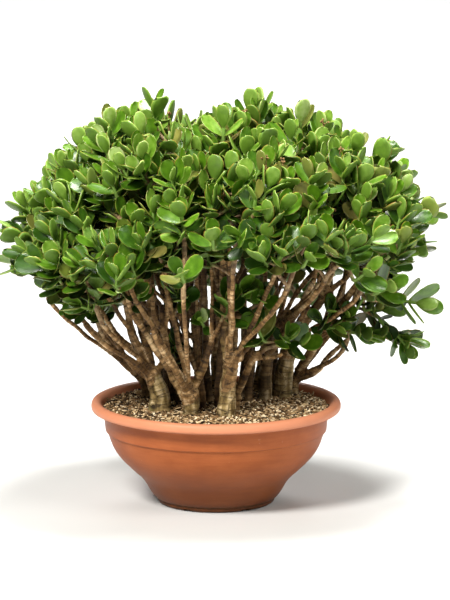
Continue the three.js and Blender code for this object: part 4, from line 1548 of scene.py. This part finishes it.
class Trace:
    """Points all along some limbs, from which a vertex near them learns where on which limb it lies."""

    shift = 0.37

    def __init__(self, limbs: Sequence[Sequence[Station]]) -> None:
        """Gathers the points.

        Args:
            limbs: The stations of each limb, in order from its root.
        """
        spots, ways, sides, rows = [], [], [], []
        for number, limb in enumerate(limbs):
            steps = [(b.at - a.at).length for a, b in zip(limb, limb[1:])]
            run, whole = 0.0, sum(steps)
            side = Vector((1, 0, 0))
            for i, station in enumerate(limb):
                side = (side - station.way * side.dot(station.way)).normalized()
                spots.append(station.at)
                ways.append(station.way)
                sides.append(side)
                rows.append((run, whole - run, station.radius, number))
                run += steps[i] if i < len(steps) else 0.0
        self.spots, self.ways, self.sides = (np.array([tuple(v) for v in part]) for part in (spots, ways, sides))
        self.run, self.left, self.radius, self.limb = np.array(rows).T
        self.tree = kdtree.KDTree(len(spots))
        for i, spot in enumerate(spots):
            self.tree.insert(spot, i)
        self.tree.balance()

    def locate(self, places: np.ndarray) -> dict[str, np.ndarray]:
        """Where each place lies on its nearest limb.

        Args:
            places: The places, one row each.

        Returns:
            The length run from the root and left to the tip, the radius, the limb's number and the grain: a
            coordinate that is straight along the limb.
        """
        found = np.array([self.tree.find(spot)[1] for spot in places])
        off = places - self.spots[found]
        slip = np.einsum("ij,ij->i", off, self.ways[found])
        side = self.sides[found]
        across = np.cross(self.ways[found], side)
        run = self.run[found] + slip
        sideways = [np.einsum("ij,ij->i", off, way) for way in (side, across)]
        grain = [*sideways, run + self.shift * self.limb[found]]
        return {
            "run": run,
            "left": self.left[found] - slip,
            "radius": self.radius[found],
            "limb": self.limb[found],
            "grain": np.stack(grain, axis=1),
        }


def rings(run: np.ndarray, limb: np.ndarray, spacing: np.ndarray, width: float) -> np.ndarray:
    """How near each place is to a leaf scar that rings its limb.

    Args:
        run: The length run along the limb.
        limb: The limb's number.
        spacing: The mean distance between scars.
        width: Half the width of a scar.

    Returns:
        1 on a scar, falling to 0 beside it.
    """
    cell = np.floor(run / spacing)
    nearest = np.full(len(run), 1e9)
    for step in (-1, 0, 1):
        wave = np.sin((cell + step) * 91.7 + limb * 37.3) * 4375.85
        middle = (cell + step + 0.5 + 0.5 * (wave - np.floor(wave) - 0.5)) * spacing
        nearest = np.minimum(nearest, np.abs(run - middle))
    return np.exp(-((nearest / width) ** 2))


def tubes(name: str, limbs: Sequence[Sequence[Station]], resolution: int) -> Piece:
    """Round closed tubes along limbs, as one mesh.

    Args:
        name: The object's name.
        limbs: The stations of each limb.
        resolution: The bevel resolution of the round section.

    Returns:
        The mesh.
    """
    deselect()
    bpy.ops.curve.primitive_bezier_curve_add()
    body = bpy.context.object
    body.name = name
    curve = body.data
    curve.splines.clear()
    curve.dimensions = "3D"
    curve.bevel_depth = 0.001
    curve.bevel_resolution = resolution
    curve.use_fill_caps = True
    for limb in limbs:
        spline = curve.splines.new("POLY")
        spline.points.add(len(limb) - 1)
        for point, station in zip(spline.points, limb):
            point.co = (*station.at, 1.0)
            point.radius = station.radius / curve.bevel_depth
    only(body)
    bpy.ops.object.convert(target="MESH")
    return bpy.context.object


@dataclass(frozen=True)
class Knot:
    """A knob on old wood, where a branch was cut or a leaf pair left a thick scar."""

    at: Point
    size: Point


KNOTS = {
    "stump": (
        Knot((-0.0495, -0.094, 0.217), (0.0212, 0.0205, 0.0036)),
        Knot((-0.049, -0.096, 0.221), (0.015, 0.014, 0.008)),
        Knot((-0.031, -0.106, 0.252), (0.007, 0.0068, 0.0078)),
        Knot((-0.083, -0.104, 0.268), (0.01, 0.0095, 0.011)),
    ),
    "centre": (
        Knot((0.027, -0.105, 0.278), (0.0172, 0.016, 0.0055)),
        Knot((0.042, -0.108, 0.284), (0.0085, 0.0075, 0.0075)),
        Knot((0.026, -0.105, 0.268), (0.016, 0.0155, 0.004)),
        Knot((0.021, -0.105, 0.211), (0.0162, 0.016, 0.0035)),
        Knot((0.037, -0.091, 0.357), (0.0088, 0.008, 0.0085)),
    ),
    "left": (
        Knot((-0.107, -0.064, 0.252), (0.0105, 0.0085, 0.0095)),
        Knot((-0.098, -0.058, 0.26), (0.0062, 0.0058, 0.008)),
        Knot((-0.106, -0.052, 0.218), (0.0178, 0.0175, 0.004)),
    ),
    "leaning": (Knot((0.039, -0.07, 0.202), (0.01, 0.0095, 0.0035)),),
    "right": (
        Knot((0.125, 0.062, 0.233), (0.0168, 0.016, 0.0036)),
        Knot((0.12, 0.065, 0.203), (0.0172, 0.0168, 0.0036)),
    ),
    "right_mid": (Knot((0.092, 0.03, 0.248), (0.0125, 0.012, 0.0045)),),
}


@dataclass
class Wood:
    """The bare wood of one plant, grown together at its forks and ringed with the scars of old leaves."""

    grown: Grown
    hole: float = 0.128
    neck: float = 0.155
    shoulder: float = 0.01
    grid: float = 0.0021
    flare: float = 0.13
    flare_height: float = 0.022
    slim: float = 0.82
    sway: float = 0.0042
    sway_seed: int = 17
    swelling: float = 0.1
    lump: float = 0.06
    ridge: float = 0.0006
    scar: float = 0.0005
    roughness: float = 0.0004

    def crooked(self, limb: Sequence[Station], number: int) -> list[Station]:
        """Gives a limb the slight bends and swellings of real growth, and makes it slimmer if it isn't the trunk.

        Args:
            limb: The stations.
            number: The limb's number, 0 for the trunk.

        Returns:
            The new stations.
        """
        noise.seed_set(self.sway_seed)
        line = []
        for i, station in enumerate(limb):
            held = math.sin(math.pi * i / (len(limb) - 1))
            sway = noise.noise_vector(station.at * 24 + Vector((number * 3.1, 0.0, 0.0)))
            sway -= station.way * sway.dot(station.way)
            bulge = 1 + self.swelling * noise.noise(station.at * 70 + Vector((0.0, number * 1.7, 0.0)))
            radius = station.radius * bulge * (self.slim if number else 1.0)
            line.append(Station(station.at + sway * (self.sway * held), station.way, radius))
        return line

    def lines(self) -> list[list[Station]]:
        """The stations of all limbs: the trunk widens to its foot and goes on down into the soil."""
        trunk, *limbs = [limb.stations(STEP) for limb in self.grown.limbs]
        trunk = self.crooked(trunk, 0)
        foot = trunk[0]
        wide = []
        for station in trunk:
            spread = self.flare * math.exp(-(station.at.z - foot.at.z) / self.flare_height)
            wide.append(Station(station.at, station.way, station.radius * (1 + spread)))
        buried = [
            Station(Vector((foot.at.x, foot.at.y, z)), UP, self.grown.plant.radius * (1 + spread))
            for z, spread in ((self.hole, 0.0), (self.neck, 0.0), (foot.at.z - self.shoulder, self.flare))
        ]
        return [[*buried, *wide], *(self.crooked(limb, i) for i, limb in enumerate([*limbs, *self.grown.stems], 1))]

    def knots(self) -> list[Piece]:
        """The knobs of the plant, each a rough ball pressed to its size."""
        made = []
        for number, knot in enumerate(KNOTS.get(self.grown.plant.name, ())):
            bpy.ops.mesh.primitive_ico_sphere_add(subdivisions=3, radius=1, location=(0, 0, 0))
            ball = bpy.context.object
            with editing(ball):
                bpy.ops.mesh.select_all(action="SELECT")
                bpy.ops.transform.vertex_random(offset=0.12, uniform=0.0, normal=1.0, seed=number + 1)
                bpy.ops.mesh.vertices_smooth(factor=0.5, repeat=2)
            ball.scale = knot.size
            ball.location = knot.at
            made.append(placed(ball))
        return made

    def relief(self, body: Piece, lines: Sequence[Sequence[Station]]) -> None:
        """Works scars, ridges and lumps into the surface, and marks it for the bark's finish.

        The marks are the grain, how far inside the shade of the clump a place is, and how old and thick the limb.

        Args:
            body: The wood.
            lines: The stations of its limbs.
        """
        places = vertices(body)
        marks = Trace(lines).locate(places)
        radius = marks["radius"]
        lumps = np.array([noise.noise(Vector(spot * 55)) for spot in places])
        grit = np.array([noise.noise(Vector(spot * 240)) for spot in places])
        spacing = np.clip(0.008 + 0.6 * radius, 0.01, 0.019)
        run = marks["run"] + 0.0018 * lumps
        scar = rings(run, marks["limb"], spacing, 0.0011)
        ridge = rings(run + 0.0016, marks["limb"], spacing, 0.003)
        lift = self.ridge * ridge - self.scar * scar + self.roughness * grit + self.lump * radius * lumps
        move_vertices(body, places + vertices(body, "normal") * lift[:, None])
        write_mark(body, "grain", marks["grain"])
        # Painted shade: the bark is marked darker towards the middle of the clump.
        inside = 1 - (places[:, 0] / 0.2) ** 2 - ((places[:, 1] - 0.03) / 0.15) ** 2
        write_mark(body, "inside", np.clip((inside - 0.38) / 0.42, 0, 1))
        write_mark(body, "girth", np.clip((radius - 0.0055) / 0.009, 0, 1))

    def build(self, material: Finish) -> Piece:
        """Models and dresses the wood.

        Args:
            material: The bark's finish.

        Returns:
            The wood of the plant as one piece.
        """
        name = self.grown.plant.name
        lines = self.lines()
        body = tubes(f"trunk_{name}", lines, 5)
        body = joined([body, *self.knots()], f"trunk_{name}")
        modified(body, "REMESH", mode="VOXEL", voxel_size=self.grid, use_smooth_shade=True)
        modified(body, "SMOOTH", factor=0.5, iterations=3)
        self.relief(body, lines)
        return dressed(body, material, "bark", f"wood_{name}")


# ---- shoots and leaves


@dataclass(frozen=True)
class LeafCut:
    """The cut of a leaf, as shares of its length."""

    wide: float
    base: float
    round: float
    deep: float
    cup: float


class LeafForm(Enum):
    """The forms of jade leaf on the plant."""

    BROAD = LeafCut(0.68, 0.78, 0.46, 0.09, 0.045)
    EGG = LeafCut(0.6, 0.85, 0.5, 0.095, 0.03)
    SPOON = LeafCut(0.67, 1.05, 0.44, 0.085, 0.06)
    LONG = LeafCut(0.5, 0.95, 0.54, 0.1, 0.035)
    BUD = LeafCut(0.5, 0.75, 0.56, 0.16, 0.055)


@dataclass
class LeafPattern:
    """One form of leaf, one unit long: root at the origin, tip along +Y, upper face towards +Z."""

    form: LeafForm
    sides: int = 8
    rows: int = 8
    upper: float = 0.5
    margin: float = 0.9
    cupped: Pair = (0.1, 0.97)

    def half_width(self, along: float) -> float:
        """Half the leaf's width at a share of its length.

        Args:
            along: The share, from 0 to 1.

        Returns:
            Half the width.
        """
        cut = self.form.value
        peak = cut.base / (cut.base + cut.round)
        top = peak**cut.base * (1 - peak) ** cut.round
        return 0.5 * cut.wide * along**cut.base * (1 - along) ** cut.round / top

    def half_depth(self, along: float) -> float:
        """Half the leaf's thickness at a share of its length: thick where it leaves the stem, thin at the tip."""
        cut = self.form.value
        return 0.5 * cut.deep * (1 - along) ** 0.35 * (0.62 + 0.38 * math.sin(math.pi * min(1.0, along * 1.25)))

    def is_cupped(self, at: Vector) -> bool:
        """Whether a point of the leaf is on its margin, where that is bent up."""
        edge = self.margin * self.half_width(min(1.0, max(0.0, at.y)))
        return abs(at.x) > edge and self.cupped[0] < at.y < self.cupped[1]

    def build(self) -> Piece:
        """Models the leaf: a ball drawn out ring by ring, flattened above and cupped."""
        cut = self.form.value
        bpy.ops.mesh.primitive_uv_sphere_add(
            segments=self.sides, ring_count=self.rows, radius=0.5, location=(0, 0.5, 0), rotation=(-math.pi / 2, 0, 0)
        )
        leaf = placed(bpy.context.object)
        with editing(leaf):
            for row in range(1, self.rows):
                along = 0.5 - 0.5 * math.cos(math.pi * row / self.rows)
                natural = 0.5 * math.sin(math.pi * row / self.rows)
                pick(leaf, lambda at, y=along: abs(at.y - y) < 1e-4)
                value = (self.half_width(along) / natural, 1, self.half_depth(along) / natural)
                bpy.ops.transform.resize(value=value, center_override=(0, along, 0))
            pick(leaf, lambda at: at.z > 1e-4)
            bpy.ops.transform.resize(value=(1, 1, self.upper), center_override=(0, 0, 0))
            pick(leaf, self.is_cupped)
            bpy.ops.transform.translate(value=(0, 0, cut.cup))
        self.mark(leaf)
        only(leaf)
        bpy.ops.object.shade_smooth()
        return leaf

    def mark(self, leaf: Piece) -> None:
        """Marks the leaf's margin, its faces and its length for its finish.

        Args:
            leaf: The leaf.
        """
        places = vertices(leaf)
        along = np.clip(places[:, 1], 0, 1)
        half = np.array([max(1e-6, self.half_width(y)) for y in along])
        share = np.abs(places[:, 0]) / half
        rim = np.where((share > self.margin) | (along > 0.999), 1.0, 0.0)
        above = places[:, 2] - self.form.value.cup * rim * ((along > self.cupped[0]) & (along < self.cupped[1]))
        write_mark(leaf, "rim", rim)
        write_mark(leaf, "upper", np.where(rim > 0.5, 0.0, np.sign(above)))
        write_mark(leaf, "along", along)


@dataclass(frozen=True)
class LeafPair:
    """A pair of leaves: how far behind the tip, how many degrees open, how long, in which forms and how light."""

    back: float
    open: float
    length: float
    forms: tuple[LeafForm, ...]
    tint: float


# The pairs of the solids' own rosettes, which are also the larger ones, and those of the closer ones between them.
OWN_PAIRS = (
    LeafPair(0.003, 27, 0.045, (LeafForm.EGG, LeafForm.LONG, LeafForm.BROAD), 0.1),
    LeafPair(0.017, 58, 0.052, (LeafForm.BROAD, LeafForm.EGG, LeafForm.SPOON), 0.0),
    LeafPair(-0.001, 12, 0.023, (LeafForm.BUD,), 0.26),
    LeafPair(0.03, 66, 0.044, (LeafForm.SPOON, LeafForm.BROAD, LeafForm.EGG), -0.12),
)
FULL_PAIRS = (
    LeafPair(0.002, 22, 0.044, (LeafForm.EGG, LeafForm.BROAD, LeafForm.LONG), 0.12),
    LeafPair(0.014, 42, 0.052, (LeafForm.BROAD, LeafForm.EGG, LeafForm.SPOON), 0.0),
    LeafPair(-0.001, 10, 0.022, (LeafForm.BUD,), 0.26),
    LeafPair(0.027, 60, 0.05, (LeafForm.SPOON, LeafForm.BROAD, LeafForm.EGG), -0.1),
    LeafPair(0.04, 74, 0.041, (LeafForm.SPOON, LeafForm.BROAD), -0.16),
)


@dataclass
class Foliage:
    """The leaves of the whole crown, copied from a pattern of each form.

    A draw of (mean, spread) or (least, most) gives each leaf its own bow, twist, roll and breadth.
    """

    seed: int = 23
    crowding: float = 0.0118
    cell: float = 0.02
    aged: float = 0.075
    bow: Pair = (0.12, 0.08)
    twist: Pair = (0.0, 0.16)
    roll: Pair = (0.0, 0.12)
    breadth: Pair = (0.92, 1.1)
    tone: float = 0.31
    # Painted light and shade: leaves are lighter the higher they stand and the further out in the crown.
    painted_light_high: float = 0.24
    painted_light_outer: float = 0.55
    tone_spread: float = 0.1
    draw: random.Random = field(init=False)
    patterns: dict[LeafForm, Piece] = field(init=False)
    cells: dict[tuple[int, ...], list[Vector]] = field(default_factory=dict)

    def __post_init__(self) -> None:
        """Starts the random draws, and models each form of leaf once."""
        self.draw = random.Random(self.seed)
        self.patterns = {form: LeafPattern(form).build() for form in LeafForm}

    def clear_away(self) -> None:
        """Removes the patterns."""
        for pattern in self.patterns.values():
            bpy.data.objects.remove(pattern)

    def is_crowded(self, middle: Vector) -> bool:
        """Whether another leaf's middle is too near, and if not, notes this one's.

        Args:
            middle: The leaf's middle.

        Returns:
            Whether there is no room for it.
        """
        i, j, k = (math.floor(c / self.cell) for c in middle)
        around = [(i + a, j + b, k + c) for a in (-1, 0, 1) for b in (-1, 0, 1) for c in (-1, 0, 1)]
        others = [other for cell in around for other in self.cells.get(cell, ())]
        if any((other - middle).length < self.crowding for other in others):
            return True
        self.cells.setdefault((i, j, k), []).append(middle)
        return False

    def tint(self, tip: Tip, pair: LeafPair) -> float:
        """How light a leaf is: lighter the higher it stands as seen from the front and the further out in the crown,
        as painted light and shade, and lighter in the youngest pairs.
        """
        height = (tip.at.z + 0.2 * tip.at.y - 0.3) / 0.45
        light = self.tone + self.painted_light_high * height + self.painted_light_outer * (tip.share - 0.85)
        return light + pair.tint + tip.tint + self.draw.gauss(0, self.tone_spread)

    def leaf(self, tip: Tip, number: int, side: int) -> Piece | None:
        """One leaf of a rosette, in the place that the solids give it.

        Args:
            tip: The shoot's tip.
            number: The number of the leaf's pair.
            side: Which of the pair it is, 0 or 1.

        Returns:
            The leaf, or None where there is no room for it.
        """
        pairs = FULL_PAIRS if tip.key >= SPRIG_KEY else OWN_PAIRS
        if number >= len(pairs):
            return None
        pair = pairs[number]
        key = number * 2 + side
        first = UP if abs(tip.axis.z) < 0.9 else Vector((1, 0, 0))
        out = (first - tip.axis * first.dot(tip.axis)).normalized()
        turn = math.pi * (scatter(tip.key, 11) + side + number / 2) + 0.35 * (scatter(tip.key, 12, key) - 0.5)
        out.rotate(Matrix.Rotation(turn, 3, tip.axis))
        angle = math.radians(pair.open) * (0.85 + 0.3 * scatter(tip.key, 13, key))
        root = tip.at - tip.axis * (pair.back * tip.size)
        way = tip.axis * math.cos(angle) + out * math.sin(angle)
        face = tip.axis * math.sin(angle) - out * math.cos(angle)
        length = tip.size * pair.length * (0.86 + 0.26 * scatter(tip.key, 14, key))
        if self.is_crowded(root + way * (0.6 * length)):
            return None
        form = pair.forms[math.floor(scatter(tip.key, 15, key) * len(pair.forms))]
        leaf = copied(self.patterns[form])
        move_vertices(leaf, self.bent(vertices(leaf)) * length @ self.axes(way, face) + np.array(root))
        write_mark(leaf, "tint", self.tint(tip, pair))
        write_mark(leaf, "age", max(0.0, 1.0 - self.draw.random() / self.aged) ** 0.5)
        write_mark(leaf, "blush", self.draw.uniform(0, 1))
        return leaf

    def bent(self, places: np.ndarray) -> np.ndarray:
        """Gives a leaf a bow, a twist and a breadth of its own.

        Args:
            places: The pattern's vertices, one row each.

        Returns:
            Their new places.
        """
        bow, twist = (self.draw.gauss(*spread) for spread in (self.bow, self.twist))
        x, y, z = places[:, 0] * self.draw.uniform(*self.breadth), places[:, 1], places[:, 2]
        sine, cosine = np.sin(twist * y), np.cos(twist * y)
        return np.stack([x * cosine - z * sine, y, x * sine + z * cosine + bow * y * y], axis=1)

    def axes(self, way: Vector, face: Vector) -> np.ndarray:
        """The leaf's own axes, rolled a little about its length: across, along and up from its face."""
        roll = Matrix.Rotation(self.draw.gauss(*self.roll), 3, way)
        return np.array([list(roll @ way.cross(face)), list(way), list(roll @ face)])

    def build(self, spray: Spray, name: str, node: str, material: Finish) -> Piece:
        """The leaves of a spray.

        Args:
            spray: The spray with its rosettes.
            name: The piece's name.
            node: The solid that it stands for.
            material: The leaves' finish.

        Returns:
            The leaves as one piece.
        """
        leaves = []
        for number in (0, 1, 3, 2, 4):
            for tip in spray.rosettes:
                made = [self.leaf(tip, number, side) for side in (0, 1)]
                leaves += [leaf for leaf in made if leaf]
        return dressed(joined(leaves, name), material, "leaf", node)


@dataclass
class Shoots:
    """The shoots of a spray, green at their tips and ringed with scars where leaves have dropped."""

    spray: Spray
    scars: float = 0.0095
    green: float = 0.075

    def build(self, name: str, node: str, material: Finish) -> Piece:
        """Models and dresses the shoots.

        Args:
            name: The piece's name.
            node: The solid that it stands for.
            material: The shoots' finish.

        Returns:
            The shoots as one piece.
        """
        body = tubes(name, self.spray.shoots, 2)
        places = vertices(body)
        marks = Trace(self.spray.shoots).locate(places)
        scar = rings(marks["left"], marks["limb"], np.full(len(places), self.scars), 0.0012)
        move_vertices(body, places + vertices(body, "normal") * (0.0005 * scar)[:, None])
        write_mark(body, "ring", scar)
        write_mark(body, "youth", np.clip(1 - marks["left"] / self.green, 0, 1))
        only(body)
        bpy.ops.object.shade_smooth()
        return dressed(body, material, "leaf", node)


@dataclass
class DryStalks:
    """The stubs of old flower stalks, which stand dry and forked between the topmost leaves."""

    forks: tuple[Point, ...] = (
        (0.052, -0.046, 0.712), (0.088, -0.184, 0.65), (0.117, -0.18, 0.644), (0.191, -0.036, 0.692),
        (0.218, -0.106, 0.652), (0.254, -0.036, 0.65), (-0.083, -0.046, 0.708), (0.012, -0.206, 0.588),
        (0.204, -0.146, 0.55),
    )
    height: float = 0.03
    radii: Pair = (0.0016, 0.0013)
    twigs: int = 5
    bud: Profile = ((0.0, 0.0009), (0.8, 0.0008), (1.0, 0.0022), (1.2, 0.0017), (1.3, 0.0006))
    seed: int = 31

    def build(self, material: Finish) -> Piece:
        """Models and dresses the stalks.

        Args:
            material: Their finish.

        Returns:
            All of them as one piece.
        """
        draw = random.Random(self.seed)
        lines = []
        for place in self.forks:
            fork = Vector(place)
            lines.append([Station(fork - UP * self.height, UP, self.radii[0]), Station(fork, UP, self.radii[1])])
            for _ in range(self.twigs):
                way = Vector((draw.gauss(0, 0.7), draw.gauss(-0.2, 0.7), 1.0)).normalized()
                size = draw.uniform(0.005, 0.01)
                lines.append([Station(fork + way * (size * along), way, radius) for along, radius in self.bud])
        return dressed(tubes("dry_stalks", lines, 1), material, "bark")


# ---- studio


@dataclass(frozen=True)
class Lamp:
    """A soft round lamp: its place, width, power in watts and colour, and the point that it faces."""

    name: str
    at: Point
    size: float
    power: float
    colour: Colour
    aim: Point = (0.0, 0.0, 0.35)


@dataclass
class Studio:
    """The pale sweep, the soft lights and the camera."""

    floor_size: float = 30.0
    wall_height: float = 5.0
    bend: float = 1.6
    room_colour: Colour = (1.0, 0.97, 0.84)
    room_light: float = 0.07
    lamps: tuple[Lamp, ...] = (
        Lamp("key", (-1.5, -2.5, 2.9), 1.1, 246.0, (1.0, 0.98, 0.93)),
        Lamp("fill", (2.4, -1.8, 2.1), 1.8, 62.0, (1.0, 0.985, 0.94)),
        Lamp("top", (0.3, 0.1, 3.2), 1.2, 185.0, (1.0, 0.99, 0.95)),
        Lamp("backdrop", (0.0, 5.2, 4.0), 4.0, 430.0, (1.0, 1.0, 1.0), (0.0, 6.2, 0.0)),
    )
    target: Vector = field(default_factory=lambda: Vector((0.0162, 0.0, 0.368)))
    distance: float = 8.5
    camera_height: float = 1.96
    view_height: float = 1.076
    sensor: float = 36.0

    def floor(self, material: Finish) -> None:
        """A floor that curves up behind the object into a backdrop.

        Args:
            material: Its finish.
        """
        deselect()
        bpy.ops.mesh.primitive_plane_add(size=self.floor_size, location=(0, 0, 0))
        sweep = bpy.context.object
        sweep.name = "studio_sweep"
        back = self.floor_size / 2 - 0.01
        with editing(sweep):
            pick(sweep, lambda at: at.y > back)
            rise = {"value": (0, 0, self.wall_height)}
            bpy.ops.mesh.extrude_region_move(TRANSFORM_OT_translate=rise)
            pick(sweep, lambda at: at.y > back and at.z < 0.01)
            bpy.ops.mesh.bevel(offset=self.bend, segments=16)
        only(sweep)
        bpy.ops.object.shade_smooth()
        sweep.data.materials.append(material)

    def light(self) -> None:
        """A dim warm room, a key lamp high at the front left, a weak one at the right, one above and one behind."""
        world = bpy.data.worlds.new("studio_room")
        world.use_nodes = True
        background = next(n for n in world.node_tree.nodes if n.type == "BACKGROUND")
        background.inputs["Color"].default_value = (*self.room_colour, 1.0)
        background.inputs["Strength"].default_value = self.room_light
        bpy.context.scene.world = world
        for lamp in self.lamps:
            way = Vector(lamp.at) - Vector(lamp.aim)
            bpy.ops.object.light_add(type="AREA", location=lamp.at, rotation=way.to_track_quat("Z", "Y").to_euler())
            light = bpy.context.object
            light.name = lamp.name
            light.data.shape = "DISK"
            light.data.size = lamp.size
            light.data.energy = lamp.power
            light.data.color = lamp.colour
        bpy.context.scene.view_settings.view_transform = "Standard"

    def camera(self) -> None:
        """A long lens a little above the bowl, as a catalogue picture is taken."""
        at = self.target + Vector((0, -self.distance, self.camera_height - self.target.z))
        bpy.ops.object.camera_add(location=at, rotation=(at - self.target).to_track_quat("Z", "Y").to_euler())
        camera = bpy.context.object
        camera.data.sensor_width = self.sensor
        camera.data.lens = self.sensor * (at - self.target).length / self.view_height
        bpy.context.scene.camera = camera


# ---- all of it


def main() -> None:
    """Builds the studio, the bowl with its soil, and then the plants."""
    logging.basicConfig(level=logging.INFO, format="%(name)s %(message)s")
    studio = Studio()
    studio.floor(StudioPaper().build())
    studio.light()
    studio.camera()

    Bowl().build(BowlPlastic().build())
    soil = Soil()
    soil.bed(PottingMix().build())
    soil.cover(ChipFinish().build(), PLANTS)

    plants = Skeleton().build()
    bark = JadeBark().build()
    for grown in plants:
        Wood(grown).build(bark)

    skin = ShootSkin().build()
    leaf = JadeLeaf().build()
    foliage = Foliage()
    for grown in plants:
        for number, spray in enumerate(grown.sprays, 1):
            name = f"{grown.plant.name}_{number}"
            Shoots(spray).build(f"shoots_{name}", f"spray_{name}", skin)
            foliage.build(spray, f"leaves_{name}", f"spray_{name}", leaf)
    foliage.clear_away()
    DryStalks().build(DryStalk().build())


if __name__ == "__main__":
    main()
